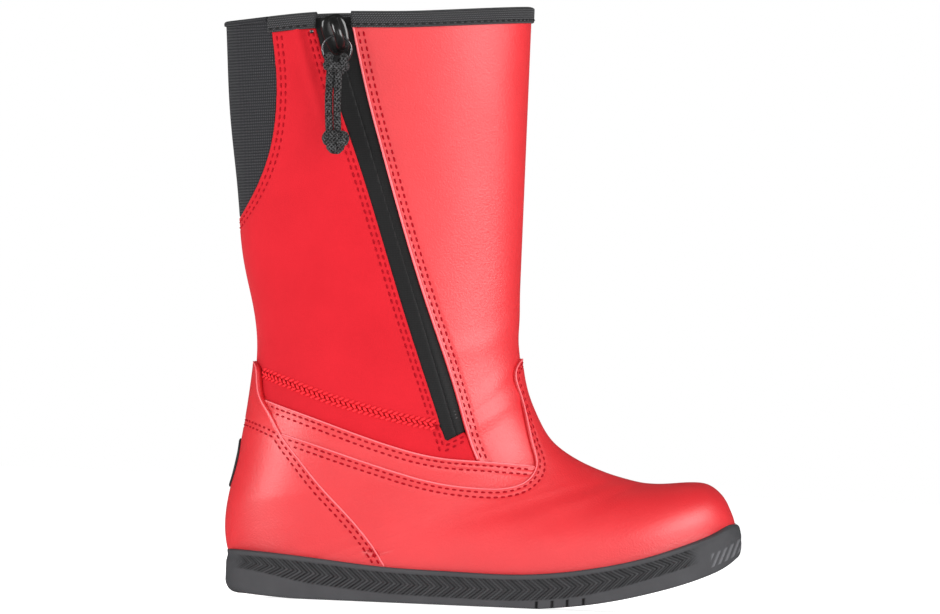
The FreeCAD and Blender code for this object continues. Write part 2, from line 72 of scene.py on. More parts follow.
# Front x, z, back x, z, half width, widest place, back power, front power, share of foot plan.
RIBS = [
    (8.8, 232, -104.2, 222, 34.4, .50, 2.2, 2.1, 0),
    (8.8, 215.8, -101.4, 206.1, 33.8, .50, 2.2, 2.1, 0),
    (8.8, 185, -98.9, 176, 33.0, .50, 2.2, 2.1, 0),
    (8.8, 155, -95.0, 148, 31.4, .50, 2.2, 2.1, 0),
    (8.8, 128, -91.8, 124, 30.4, .50, 2.2, 2.1, 0),
    (8.8, 106, -87.4, 106, 30.2, .50, 2.2, 2.1, 0),
    (9.2, 92, -85.0, 91, 30.6, .49, 2.2, 2.1, 0),
    (11.4, 79.5, -85.5, 77, 31.0, .47, 2.2, 2.1, 0),
    (15.0, 70.2, -87.2, 62, 31.2, .44, 2.2, 2.1, 0),
    (20.0, 61.5, -89.6, 47, 30.8, .41, 2.2, 2.1, 0),
    (26.0, 56.0, -92.2, 33, 30.0, .38, 2.3, 2.1, .1),
    (32.5, 52.3, -92.2, 21, 29.2, .35, 2.5, 2.1, .4),
    (38.5, 49.8, -88.8, 11.8, 28.8, .32, 3.2, 2.1, .8),
    (43.5, 48.1, -81.0, 8.2, 28.6, .30, 4.5, 2.1, 1),
    (48.0, 46.9, -66.0, 7.7, 29.5, .28, 6.0, 2.1, 1),
    (52.0, 46.0, -46.0, 7.5, 31.0, .28, 6.0, 2.2, 1),
    (55.5, 45.4, -23.0, 7.4, 32.5, .28, 6.0, 2.2, 1),
    (58.5, 45.2, 2.0, 7.4, 33.5, .30, 6.0, 2.3, 1),
    (61.5, 45.2, 25.0, 8.2, 33.5, .32, 6.0, 2.4, 1),
    (65.5, 45.5, 43.0, 10.4, 33.0, .34, 6.0, 2.5, 1),
    (70.0, 46.0, 57.0, 13.3, 31.5, .36, 5.0, 2.6, 1),
    (74.5, 46.3, 68.0, 16.4, 27.5, .38, 4.0, 2.6, 1),
    (78.6, 45.9, 76.0, 19.0, 21.5, .40, 3.5, 2.6, 1),
    (82.0, 44.0, 81.0, 20.8, 16.5, .42, 3.0, 2.6, 1),
    (84.8, 41.0, 84.6, 22.4, 11.5, .44, 3.0, 2.5, 1),
    (86.6, 37.6, 86.9, 24.8, 7.0, .46, 2.6, 2.4, 1),
    (87.9, 34.6, 88.1, 27.6, 4.0, .48, 2.4, 2.3, 1),
    (88.7, 31.4, 88.72, 30.6, 1.0, .50, 2.2, 2.2, 1),
]

# Side-view seams (x, z).
TOP_EDGE = [(-112, 205), (-101.8, 206.1), (-69.5, 210.6), (-36, 212.4), (-22.8, 213.4), (9.9, 216.1),
            (22, 216.9)]
GORE_EDGE = [(-86.4, 224), (-85.0, 207), (-82.2, 187.4), (-81.8, 179), (-83.6, 160), (-89.1, 144.1),
             (-97.0, 130)]
FLATLOCK = [(-100, 86.6), (-81.8, 80.3), (-60.3, 72.9), (-38.3, 67.5), (-15.5, 63.8), (-6, 63)]
BAND_TOP = [(-92, 75.5), (-81.0, 71.0), (-67.8, 66.6), (-37.9, 57.1), (-16.4, 52.7), (-3.4, 52.1),
            (16.7, 50.8)]
VAMP_EDGE = [(-85.6, 61.5), (-74.5, 59.1), (-63.6, 56), (-37.5, 48.4), (-16, 43.5), (-3, 42.3),
             (8, 42.8), (14.2, 45.8), (16.7, 50.8), (15.2, 57.1), (12.6, 65.7), (9.2, 77),
             (7.3, 84.5), (10.5, 90.5), (22, 96)]
COUNTER_EDGE = [(-96, 85.4), (-86, 85.2), (-83.6, 83.2), (-82.6, 79.5), (-81.0, 71.0), (-78.4, 66.4),
                (-74.5, 59.1), (-68.5, 51.3), (-61.3, 42.7), (-51.2, 32.5), (-42.5, 23.1), (-33.3, 9),
                (-30, 2)]
SOLE_TOP_EDGE = [(-96, 16.9), (-64.6, 15.1), (-37.5, 12.7), (-10.4, 12.0), (11.2, 11.9), (27.4, 13.3),
                 (43.5, 16.1), (59.5, 20.2), (75.4, 25.8), (85.5, 30.4), (89, 32.4), (96, 33.6)]
SOLE_UNDER = [(20, 0), (36.5, 1.9), (61.4, 7.5), (82.7, 15.0), (90.2, 19.2), (96, 24.5)]
ZIP_TOP = (-64.1, 210.9)
ZIP_BOTTOM = (-11.7, 60.7)
ZIP_REAR = [(-15.6, 58.6), (-19.7, 69.7), (-33.9, 108), (-51.9, 159.1), (-60.6, 181.4), (-69.9, 209.0)]
ZIP_FRONT = [(-4.6, 53.0), (-8.3, 61.8), (-10.9, 70), (-25.1, 108.4), (-42.4, 159.5), (-49.0, 180.9),
             (-57.3, 213.4)]
ZIP_END = [(-22, 54.8), (-15.3, 58.7), (-8.6, 62.6), (0, 67.6)]
FOLD_BOTTOM = (-17.0, 64.2)
FOLD_TOP = (-85.3, 207.5)


# ---------------------------------------------------------------- curves and the base surface
def natural_spline(places, values, samples):
    """Natural cubic spline through values at places, read at samples. Values may have columns."""
    places = np.asarray(places, float)
    values = np.asarray(values, float).reshape(len(places), -1)
    gaps = np.diff(places)
    size = len(places)
    matrix = np.eye(size)
    right = np.zeros_like(values)
    for row in range(1, size - 1):
        matrix[row, row - 1] = gaps[row - 1]
        matrix[row, row] = 2 * (gaps[row - 1] + gaps[row])
        matrix[row, row + 1] = gaps[row]
        high = (values[row + 1] - values[row]) / gaps[row]
        low = (values[row] - values[row - 1]) / gaps[row - 1]
        right[row] = 6 * (high - low)
    bend = np.linalg.solve(matrix, right)
    index = np.clip(np.searchsorted(places, samples, side="right") - 1, 0, size - 2)
    gap = gaps[index][:, None]
    a = ((places[index + 1] - samples) / gaps[index])[:, None]
    b = 1 - a
    cubic = ((a ** 3 - a) * bend[index] + (b ** 3 - b) * bend[index + 1]) * gap ** 2 / 6
    return a * values[index] + b * values[index + 1] + cubic


def smooth_line(points, count=90):
    """Even samples on a smooth curve through side-view points."""
    points = np.asarray(points, float)
    if len(points) == 2:
        return points
    steps = np.concatenate([[0], np.cumsum(np.linalg.norm(np.diff(points, axis=0), axis=1))])
    return natural_spline(steps, points, np.linspace(0, steps[-1], count))


def smooth_step(t):
    t = np.clip(t, 0, 1)
    return t * t * (3 - 2 * t)


def plan_half(x, heel, toe, extra):
    width = HEEL_HALF + (BALL_HALF - HEEL_HALF) * smooth_step((x + 60) / 100.0) + extra
    back = np.clip((x - heel) / 33.0, 0, 1)
    front = np.clip((toe - x) / 43.0, 0, 1)
    return width * (1 - (1 - back) ** 2.3) ** (1 / 2.3) * (1 - (1 - front) ** 2.2) ** (1 / 2.2)


def plan_centre(x):
    return 3.5 * smooth_step((x - 12) / 70.0)


def base_grid():
    """Points on the base layer's outer face, rows down the boot and columns round it."""
    ribs = np.asarray(RIBS, float)
    index = np.arange(len(RIBS), dtype=float)
    fine = np.linspace(0, len(RIBS) - 1, 3000)
    ends = natural_spline(index, ribs[:, :4], fine)
    step_front = np.linalg.norm(np.diff(ends[:, :2], axis=0), axis=1)
    step_back = np.linalg.norm(np.diff(ends[:, 2:], axis=0), axis=1)
    travel = np.concatenate([[0], np.cumsum(np.sqrt((step_front ** 2 + step_back ** 2) / 2))])
    rows = np.interp(np.linspace(0, travel[-1], ROWS), travel, fine)
    values = natural_spline(index, ribs, rows)
    values[:, 8] = np.interp(rows, index, ribs[:, 8])
    angle = 2 * np.pi * np.arange(COLUMNS) / COLUMNS
    along = np.cos(angle)[None, :]
    across = np.sin(angle)[None, :]
    fx, fz, bx, bz, half, widest, back_power, front_power, share = [c[:, None] for c in values.T]
    power = np.where(along >= 0, front_power, back_power)
    reach = np.where(along >= 0, 1 - widest, widest)
    place = widest + reach * np.sign(along) * np.abs(along) ** (2 / power)
    x = bx + (fx - bx) * place
    z = bz + (fz - bz) * place
    foot = plan_half(x, HEEL_END, TOE_END, 0)
    width = (1 - share) * half + share * foot
    y = plan_centre(x) - width * np.sign(across) * np.abs(across) ** (2 / power)
    return np.stack([x, y, z], axis=-1)


def grid_normals(points):
    down = np.gradient(points, axis=0)
    around = (np.roll(points, -1, axis=1) - np.roll(points, 1, axis=1)) / 2
    normal = np.cross(around, down)
    normal /= np.linalg.norm(normal, axis=-1, keepdims=True) + 1e-12
    outward = points - points.mean(axis=1, keepdims=True)
    if (normal * outward).sum() < 0:
        normal = -normal
    return normal


P = base_grid()
N = grid_normals(P)
for _ in range(2):
    N = N + np.roll(N, 1, axis=1) + np.roll(N, -1, axis=1)
    N /= np.linalg.norm(N, axis=-1, keepdims=True)
ALONG = np.concatenate([np.zeros((1, COLUMNS)),
                        np.cumsum(np.linalg.norm(np.diff(P, axis=0), axis=-1), axis=0)])
AROUND = np.concatenate([np.zeros((ROWS, 1)),
                         np.cumsum(np.linalg.norm(np.diff(P, axis=1), axis=-1), axis=1)], axis=1)


def signed(points, extend=60.0):
    """Side-view distance from a curve over the grid, positive on the left of its direction."""
    line = smooth_line(points)
    first = line[0] - (line[1] - line[0]) / np.linalg.norm(line[1] - line[0]) * extend
    last = line[-1] + (line[-1] - line[-2]) / np.linalg.norm(line[-1] - line[-2]) * extend
    line = np.vstack([first, line, last])
    flat = P[..., [0, 2]].reshape(-1, 2)
    best = np.full(len(flat), 1e9)
    side = np.zeros(len(flat))
    for a, b in zip(line[:-1], line[1:]):
        edge = b - a
        rel = flat - a
        t = np.clip(rel @ edge / (edge @ edge), 0, 1)
        gap = rel - t[:, None] * edge
        distance = np.hypot(gap[:, 0], gap[:, 1])
        cross = edge[0] * rel[:, 1] - edge[1] * rel[:, 0]
        nearer = distance < best - 1e-9
        best[nearer] = distance[nearer]
        side[nearer] = np.sign(cross[nearer])
    return (best * side).reshape(ROWS, COLUMNS)


def on_surface(field):
    """Turns a side-view distance into one measured on the surface."""
    down = np.gradient(P, axis=0)
    around = (np.roll(P, -1, axis=1) - np.roll(P, 1, axis=1)) / 2
    f_down = np.gradient(field, axis=0)
    f_around = (np.roll(field, -1, axis=1) - np.roll(field, 1, axis=1)) / 2
    e = (down ** 2).sum(-1)
    g = (around ** 2).sum(-1)
    cross = (down * around).sum(-1)
    area = np.maximum(e * g - cross ** 2, 1e-9)
    slope = (g * f_down ** 2 - 2 * cross * f_down * f_around + e * f_around ** 2) / area
    return field / np.clip(np.sqrt(np.maximum(slope, 0)), 0.15, 1.0)


SIDE = P[..., 1]            # negative on the outer side
TOP = on_surface(signed(TOP_EDGE))
GORE = on_surface(signed(GORE_EDGE))
FLAT = on_surface(signed(FLATLOCK))
BAND = on_surface(signed(BAND_TOP))
VAMP = on_surface(signed(VAMP_EDGE))
COUNTER = on_surface(signed(COUNTER_EDGE))
SOLE = on_surface(signed(SOLE_TOP_EDGE))
ZIP_MID = on_surface(signed([ZIP_BOTTOM, ZIP_TOP]))
REAR = on_surface(signed(ZIP_REAR))
FRONT = on_surface(signed(ZIP_FRONT))
END = on_surface(signed(ZIP_END))


# ---------------------------------------------------------------- cutting pieces out of the grid
class Patch:
    """The part of the grid where a field is below zero, with its edge cut true."""

    def __init__(self, field):
        field = np.where(np.abs(field) < 1e-6, -1e-6, field)
        self.pairs = []
        self.index = {}
        self.faces = []
        inside = field < 0
        next_column = np.roll(inside, -1, axis=1)
        full = inside[:-1] & inside[1:] & next_column[:-1] & next_column[1:]
        some = (inside[:-1] | inside[1:] | next_column[:-1] | next_column[1:]) & ~full
        for row, column in zip(*np.nonzero(full)):
            self.faces.append([self.corner(c) for c in self.cell(row, column)])
        for row, column in zip(*np.nonzero(some)):
            self.clip(field, self.cell(row, column))
        self.pairs = np.asarray(self.pairs)
        self.a = self.pairs[:, 0].astype(int)
        self.b = self.pairs[:, 1].astype(int)
        self.t = self.pairs[:, 2]

    def cell(self, row, column):
        after = (column + 1) % COLUMNS
        return [row * COLUMNS + column, (row + 1) * COLUMNS + column,
                (row + 1) * COLUMNS + after, row * COLUMNS + after]

    def corner(self, key, other=None, t=0.0):
        name = key if other is None else (min(key, other), max(key, other))
        if name not in self.index:
            self.index[name] = len(self.pairs)
            self.pairs.append((key, key if other is None else other, t))
        return self.index[name]

    def clip(self, field, corners):
        flat = field.reshape(-1)
        loop = []
        for here, after in zip(corners, corners[1:] + corners[:1]):
            if flat[here] < 0:
                loop.append(self.corner(here))
            if (flat[here] < 0) != (flat[after] < 0):
                t = flat[here] / (flat[here] - flat[after])
                loop.append(self.corner(here, after, t))
        if len(loop) >= 3:
            self.faces.append(loop)

    def read(self, grid):
        flat = grid.reshape(ROWS * COLUMNS, -1)
        out = flat[self.a] * (1 - self.t)[:, None] + flat[self.b] * self.t[:, None]
        return out[:, 0] if grid.ndim == 2 else out

    def edges(self):
        """Boundary edges, each in its face's order."""
        seen = {}
        for face in self.faces:
            for a, b in zip(face, face[1:] + face[:1]):
                seen[(a, b)] = True
        return [edge for edge in seen if (edge[1], edge[0]) not in seen]


def new_object(name, vertices, faces, material, uv=None, layers=None):
    mesh = bpy.data.meshes.new(name)
    mesh.from_pydata([tuple(v) for v in np.asarray(vertices) * MM], [], faces)
    if uv is not None:
        layer = mesh.uv_layers.new(name="UVMap")
        loops = np.zeros(len(mesh.loops), dtype=int)
        mesh.loops.foreach_get("vertex_index", loops)
        layer.data.foreach_set("uv", (np.asarray(uv)[loops] * 0.01).reshape(-1).astype(np.float32))
    for label, values in (layers or {}).items():
        layer = mesh.attributes.new(label, "FLOAT", "POINT")
        layer.data.foreach_set("value", np.asarray(values, np.float32))
    mesh.validate()
    mesh.materials.append(material)
    mesh.shade_smooth()
    piece = bpy.data.objects.new(name, mesh)
    bpy.context.collection.objects.link(piece)
    return piece


def shell(name, field, outer, inner, material, round_edge=0.7, lift=None):
    """A closed sheet cut from the grid. outer and inner are depths below the base surface."""
    patch = Patch(field)
    place = patch.read(P)
    normal = patch.read(N)
    normal /= np.linalg.norm(normal, axis=1, keepdims=True)
    inset = np.clip(-patch.read(field), 0, None)
    thick = inner - outer
    radius = min(round_edge, thick * 0.9)
    drop = np.zeros(len(place))
    near = inset < radius
    drop[near] = (radius - np.sqrt(np.maximum(radius ** 2 - (radius - inset[near]) ** 2, 0))) * 0.75
    top = outer + drop
    if lift is not None:
        top = top - patch.read(lift)
    upper = place - normal * top[:, None]
    lower = place - normal * inner
    count = len(place)
    faces = [list(reversed(face)) for face in patch.faces]
    faces += [[v + count for v in face] for face in patch.faces]
    faces += [[a, b, b + count, a + count] for a, b in patch.edges()]
    uv = np.stack([patch.read(AROUND), patch.read(ALONG)], axis=1)
    return new_object(name, np.vstack([upper, lower]), faces, material, np.vstack([uv, uv]))


def row_lines(field, mask):
    """Lines on the grid where field is zero and mask is below zero, as (pairs of corners, t)."""
    flat = field.reshape(-1)
    keep = mask.reshape(-1)
    links = {}
    sign = field < 0
    right = np.roll(sign, -1, axis=1)
    mixed = (sign[:-1] != sign[1:]) | (sign[:-1] != right[:-1]) | (right[:-1] != right[1:])
    for row, column in zip(*np.nonzero(mixed)):
        after = (column + 1) % COLUMNS
        corners = [row * COLUMNS + column, (row + 1) * COLUMNS + column,
                   (row + 1) * COLUMNS + after, row * COLUMNS + after]
        hits = []
        for a, b in zip(corners, corners[1:] + corners[:1]):
            if (flat[a] < 0) != (flat[b] < 0):
                low, high = min(a, b), max(a, b)
                t = flat[low] / (flat[low] - flat[high])
                if keep[low] * (1 - t) + keep[high] * t < 0:
                    hits.append((low, high, t))
        if len(hits) == 2:
            links.setdefault(hits[0], []).append(hits[1])
            links.setdefault(hits[1], []).append(hits[0])
    lines = []
    used = set()
    starts = sorted(key for key in links if len(links[key]) == 1)
    for start in starts + sorted(links):
        if start in used:
            continue
        line = [start]
        used.add(start)
        while True:
            further = [key for key in links[line[-1]] if key not in used]
            if not further:
                break
            line.append(further[0])
            used.add(further[0])
        if len(line) > 3:
            lines.append(line)
    return lines


def read_line(line, grid):
    flat = grid.reshape(ROWS * COLUMNS, -1)
    a = np.array([key[0] for key in line])
    b = np.array([key[1] for key in line])
    t = np.array([key[2] for key in line])[:, None]
    return flat[a] * (1 - t) + flat[b] * t


def resample(points, extra, pitch):
    """Even samples along a polyline, at the middle of each pitch."""
    gaps = np.linalg.norm(np.diff(points, axis=0), axis=1)
    travel = np.concatenate([[0], np.cumsum(gaps)])
    count = int(travel[-1] / pitch)
    if count < 2:
        return None
    at = (np.arange(count) + 0.5) * travel[-1] / count
    place = np.stack([np.interp(at, travel, points[:, k]) for k in range(3)], axis=1)
    normal = np.stack([np.interp(at, travel, extra[:, k]) for k in range(3)], axis=1)
    normal /= np.linalg.norm(normal, axis=1, keepdims=True)
    back = np.stack([np.interp(at - pitch / 3, travel, points[:, k]) for k in range(3)], axis=1)
    ahead = np.stack([np.interp(at + pitch / 3, travel, points[:, k]) for k in range(3)], axis=1)
    along = ahead - back
    along /= np.linalg.norm(along, axis=1, keepdims=True) + 1e-9
    return place, normal, along


def thread_shape(length, radius, flat=0.75):
    """One stitch: a plump capsule lying along x, its ends dipping into the sheet."""
    rings = 7
    sides = 8
    vertices = []
    for ring in range(rings):
        t = ring / (rings - 1) * 2 - 1
        size = radius * max(0.12, math.sqrt(max(0.0, 1 - abs(t) ** 3)))
        sink = -radius * 1.1 * abs(t) ** 2.5
        for side in range(sides):
            angle = 2 * math.pi * side / sides
            vertices.append((t * length / 2, size * math.cos(angle), sink + size * flat * math.sin(angle)))
    faces = []
    for ring in range(rings - 1):
        for side in range(sides):
            a = ring * sides + side
            b = ring * sides + (side + 1) % sides
            faces.append([a, a + sides, b + sides, b])
    faces.append(list(range(sides)))
    faces.append(list(reversed(range((rings - 1) * sides, rings * sides))))
    return np.asarray(vertices), faces


def place_copies(shape, faces, places, normals, alongs):
    """Copies of one small shape, each lying along its own direction on the surface."""
    vertices = []
    all_faces = []
    for place, normal, along in zip(places, normals, alongs):
        across = np.cross(normal, along)
        across /= np.linalg.norm(across) + 1e-9
        turn = np.stack([along, across, normal], axis=1)
        base = len(vertices) * len(shape)
        vertices.append(place + shape @ turn.T)
        all_faces += [[v + base for v in face] for face in faces]
    return np.vstack(vertices), all_faces


def stitches(name, rows, material, pitch, radius, share=0.76):
    """Rows of stitches. Each row is (field, mask, depth grid): zero line of field, where mask < 0."""
    shape, faces = thread_shape(pitch * share, radius)
    places, normals, alongs = [], [], []
    for field, mask, depth in rows:
        for line in row_lines(field, mask):
            normal = read_line(line, N)
            points = read_line(line, P) - normal * read_line(line, depth)
            found = resample(points, normal, pitch)
            if found is None:
                continue
            place, normal, along = found
            places.append(place + normal * radius * 0.2)
            normals.append(normal)
            alongs.append(along)
    vertices, all_faces = place_copies(shape, faces, np.vstack(places), np.vstack(normals),
                                       np.vstack(alongs))
    return new_object(name, vertices, all_faces, material)


# ---------------------------------------------------------------- materials
def material(name, colour, roughness, metallic=0.0, coat=0.0, sheen=0.0, specular=0.5):
    made = bpy.data.materials.new(name)
    made.use_nodes = True
    shader = made.node_tree.nodes["Principled BSDF"]
    shader.inputs["Base Color"].default_value = (*colour, 1)
    shader.inputs["Roughness"].default_value = roughness
    shader.inputs["Metallic"].default_value = metallic
    shader.inputs["Coat Weight"].default_value = coat
    shader.inputs["Coat Roughness"].default_value = 0.35
    shader.inputs["Sheen Weight"].default_value = sheen
    shader.inputs["Sheen Roughness"].default_value = 0.4
    shader.inputs["Specular IOR Level"].default_value = specular
    return made, made.node_tree, shader


def node(tree, kind, **settings):
    made = tree.nodes.new(kind)
    for key, value in settings.items():
        if hasattr(made, key):
            setattr(made, key, value)
        else:
            made.inputs[key.replace("_", " ")].default_value = value
    return made


def maths(tree, operation, first, second):
    """One math node on two sockets, or on a socket and a number."""
    made = node(tree, "ShaderNodeMath", operation=operation)
    tree.links.new(first, made.inputs[0])
    if isinstance(second, float):
        made.inputs[1].default_value = second
    else:
        tree.links.new(second, made.inputs[1])
    return made.outputs[0]


def coordinates(tree, uv):
    """Coordinates in millimetres: round the boot for uv, else in the frame."""
    source = tree.nodes.new("ShaderNodeTexCoord")
    mapping = tree.nodes.new("ShaderNodeMapping")
    mapping.inputs["Scale"].default_value = [100.0 if uv else 1000.0] * 3
    tree.links.new(source.outputs["UV" if uv else "Object"], mapping.inputs["Vector"])
    return mapping.outputs["Vector"]


def mix_colours(tree, factor, first, second):
    mix = tree.nodes.new("ShaderNodeMix")
    mix.data_type = "RGBA"
    tree.links.new(factor, mix.inputs["Factor"])
    mix.inputs["A"].default_value = (*first, 1)
    mix.inputs["B"].default_value = (*second, 1)
    return mix.outputs["Result"]


def add_bump(tree, shader, heights, distance):
    """Adds up (socket, weight) heights into one bump of a depth in millimetres."""
    total = None
    for socket, weight in heights:
        scaled = maths(tree, "MULTIPLY", socket, weight)
        total = scaled if total is None else maths(tree, "ADD", total, scaled)
    bump = tree.nodes.new("ShaderNodeBump")
    bump.inputs["Strength"].default_value = 1.0
    bump.inputs["Distance"].default_value = distance * MM
    tree.links.new(total, bump.inputs["Height"])
    tree.links.new(bump.outputs["Normal"], shader.inputs["Normal"])


def noise(tree, vector, scale, detail=3.0, rough=0.55):
    made = node(tree, "ShaderNodeTexNoise")
    made.inputs["Scale"].default_value = scale
    made.inputs["Detail"].default_value = detail
    made.inputs["Roughness"].default_value = rough
    tree.links.new(vector, made.inputs["Vector"])
    return made.outputs["Fac"]


def leather(name, dark, light, roughness, coat):
    """Smooth finished leather: fine pebble grain, soft creases and a little colour play."""
    made, tree, shader = material(name, light, roughness, coat=coat, specular=0.9)
    vector = coordinates(tree, False)
    clouds = noise(tree, vector, 0.06, 4)
    grain = node(tree, "ShaderNodeTexVoronoi", feature="SMOOTH_F1")
    grain.inputs["Scale"].default_value = 1.5
    tree.links.new(vector, grain.inputs["Vector"])
    fine = noise(tree, vector, 2.6, 4)
    tree.links.new(mix_colours(tree, clouds, dark, light), shader.inputs["Base Color"])
    add_bump(tree, shader, [(grain.outputs["Distance"], 0.6), (fine, 0.8), (clouds, 0.8)], 0.12)
    return made


def softshell(name, dark, light):
    """Matt bonded jersey with a fine knitted face."""
    made, tree, shader = material(name, light, 0.75, sheen=0.03, specular=0.1)
    vector = coordinates(tree, False)
    speck = noise(tree, vector, 3.2, 2, 0.7)
    clouds = noise(tree, vector, 0.05, 3)
    knit = node(tree, "ShaderNodeTexVoronoi", feature="F1")
    knit.inputs["Scale"].default_value = 1.9
    tree.links.new(vector, knit.inputs["Vector"])
    tree.links.new(mix_colours(tree, clouds, dark, light), shader.inputs["Base Color"])
    add_bump(tree, shader, [(speck, 0.8), (knit.outputs["Distance"], 0.7)], 0.05)
    return made


def woven(name, dark, light, across, along, roughness=0.85, depth=0.12, sheen=0.04):
    """Ribbed cloth: ribs round the boot every `along` mm crossed by yarns every `across` mm."""
    made, tree, shader = material(name, light, roughness, sheen=sheen, specular=0.18)
    vector = coordinates(tree, True)
    waves = []
    for axis, pitch in (("X", across), ("Y", along)):
        wave = node(tree, "ShaderNodeTexWave", wave_type="BANDS", bands_direction=axis)
        wave.inputs["Scale"].default_value = 0.314 / pitch
        wave.inputs["Distortion"].default_value = 0.6
        wave.inputs["Detail"].default_value = 1.0
        wave.inputs["Detail Scale"].default_value = 2.0
        tree.links.new(vector, wave.inputs["Vector"])
        waves.append(wave.outputs["Fac"])
    fuzz = noise(tree, vector, 4.0, 2)
    both = maths(tree, "MULTIPLY", *waves)
    tree.links.new(mix_colours(tree, both, dark, light), shader.inputs["Base Color"])
    add_bump(tree, shader, [(waves[0], 0.6), (waves[1], 1.0), (fuzz, 0.3)], depth)
    return made


def rubber(name, dark, light, roughness=0.62):
    made, tree, shader = material(name, light, roughness, specular=0.2)
    vector = coordinates(tree, False)
    clouds = noise(tree, vector, 0.11, 4)
    fine = noise(tree, vector, 2.2, 3, 0.7)
    colour = mix_colours(tree, clouds, dark, light)
    # Painted shade and painted highlight: the herringbone grooves and slits are darkened to a fifth of the
    # light rubber colour, and the raised toe bars are lightened 1.8 times.
    for label, factor in (("groove_shade", 0.20), ("wear_and_highlight", 1.8)):
        where = node(tree, "ShaderNodeAttribute", attribute_name=label)
        shade = tree.nodes.new("ShaderNodeMix")
        shade.data_type = "RGBA"
        tree.links.new(where.outputs["Fac"], shade.inputs["Factor"])
        tree.links.new(colour, shade.inputs["A"])
        shade.inputs["B"].default_value = (*(c * factor for c in light), 1)
        colour = shade.outputs["Result"]
    tree.links.new(colour, shader.inputs["Base Color"])
    add_bump(tree, shader, [(fine, 1.0)], 0.05)
    return made


def thread(name, dark, light):
    made, tree, shader = material(name, light, 0.65, specular=0.12)
    vector = coordinates(tree, False)
    twist = node(tree, "ShaderNodeTexWave", wave_type="BANDS", bands_direction="DIAGONAL")
    twist.inputs["Scale"].default_value = 0.9
    tree.links.new(vector, twist.inputs["Vector"])
    specks = noise(tree, vector, 1.7, 2, 0.8)
    both = maths(tree, "MULTIPLY", twist.outputs["Fac"], specks)
    stronger = maths(tree, "MULTIPLY", both, 2.0)
    tree.links.new(mix_colours(tree, stronger, dark, light), shader.inputs["Base Color"])
    add_bump(tree, shader, [(twist.outputs["Fac"], 1.0), (specks, 1.0)], 0.08)
    return made


def braid(name, dark, light):
    """Round braided cord: crossing yarns with fuzzy speckle."""
    made, tree, shader = material(name, light, 0.8, sheen=0.05, specular=0.12)
    waves = []
    for lean in (0.7, -0.7):
        vector = coordinates(tree, False)
        vector.node.inputs["Rotation"].default_value = (0, lean, 0)
        wave = node(tree, "ShaderNodeTexWave", wave_type="BANDS", bands_direction="X")
        wave.inputs["Scale"].default_value = 0.33
        wave.inputs["Distortion"].default_value = 1.2
        tree.links.new(vector, wave.inputs["Vector"])
        waves.append(wave.outputs["Fac"])
    crossed = maths(tree, "MAXIMUM", *waves)
    specks = noise(tree, coordinates(tree, False), 1.6, 2, 0.8)
    sharp = tree.nodes.new("ShaderNodeMapRange")
    sharp.inputs["From Min"].default_value = 0.40
    sharp.inputs["From Max"].default_value = 0.66
    tree.links.new(specks, sharp.inputs["Value"])
    both = maths(tree, "MULTIPLY", crossed, sharp.outputs["Result"])
    tree.links.new(mix_colours(tree, both, dark, light), shader.inputs["Base Color"])
    add_bump(tree, shader, [(crossed, 1.0), (specks, 1.0)], 0.16)
    return made


def lacquer(name, colour, roughness, metallic):
    """Painted or plated metal with faint handling marks."""
    made, tree, shader = material(name, colour, roughness, metallic=metallic, coat=0.5, specular=0.6)
    vector = coordinates(tree, False)
    smears = noise(tree, vector, 0.5, 4)
    wear_and_highlight = tuple(min(1.0, c * 1.6 + 0.01) for c in colour)
    tree.links.new(mix_colours(tree, smears, colour, wear_and_highlight), shader.inputs["Base Color"])
    add_bump(tree, shader, [(smears, 1.0)], 0.02)
    return made


RED = leather("red_leather", (0.58, 0.009, 0.015), (0.67, 0.015, 0.022), 0.42, 0.2)
SOFT_RED = softshell("red_softshell", (0.45, 0.009, 0.016), (0.54, 0.013, 0.022))
# The lighter pink of the leather edges is partly the cut edge's own tone and partly a painted highlight
# along the edge.
EDGE_TONE_AND_HIGHLIGHT = leather("red_edge_tone_and_highlight", (0.80, 0.10, 0.12), (0.88, 0.17, 0.19), 0.55, 0.0)
GORE_CLOTH = woven("elastic_cloth", (0.016, 0.016, 0.018), (0.062, 0.062, 0.066), 0.9, 1.05, 0.85, 0.2)
GROSGRAIN = woven("binding_twill", (0.018, 0.018, 0.019), (0.095, 0.095, 0.098), 0.95, 0.78, 0.85, 0.12)
TAPE_CLOTH = woven("zip_tape_cloth", (0.010, 0.010, 0.010), (0.015, 0.015, 0.016), 0.55, 0.8, 0.5, 0.02)
LINING_CLOTH = woven("lining_mesh", (0.015, 0.015, 0.017), (0.07, 0.07, 0.075), 0.9, 0.9, 0.9, 0.15)
BED_CLOTH = woven("footbed_jersey", (0.03, 0.03, 0.034), (0.10, 0.10, 0.11), 0.7, 0.7, 0.9, 0.1)
SOLE_RUBBER = rubber("sole_rubber", (0.042, 0.042, 0.045), (0.060, 0.060, 0.064))
BADGE_RUBBER = rubber("badge_rubber", (0.02, 0.02, 0.02), (0.035, 0.035, 0.037), 0.5)
RED_THREAD = thread("red_thread", (0.24, 0.0, 0.005), (0.40, 0.001, 0.010))
COVER_THREAD = thread("cover_thread", (0.70, 0.012, 0.022), (0.90, 0.035, 0.045))
GREY_THREAD = thread("grey_thread", (0.008, 0.008, 0.008), (0.022, 0.022, 0.023))
BLACK_METAL = lacquer("slider_lacquer", (0.002, 0.002, 0.002), 0.12, 0.0)
RING_METAL = lacquer("ring_gunmetal", (0.10, 0.10, 0.105), 0.2, 0.9)
STEEL = lacquer("staple_steel", (0.16, 0.16, 0.165), 0.35, 1.0)
COIL_PLASTIC = lacquer("coil_plastic", (0.02, 0.02, 0.02), 0.45, 0.0)
CORD_YARN = braid("cord_yarn", (0.004, 0.004, 0.004), (0.105, 0.105, 0.107))


# ---------------------------------------------------------------- upper
def most(*fields):
    return np.maximum.reduce([np.broadcast_to(f, SIDE.shape) for f in fields])


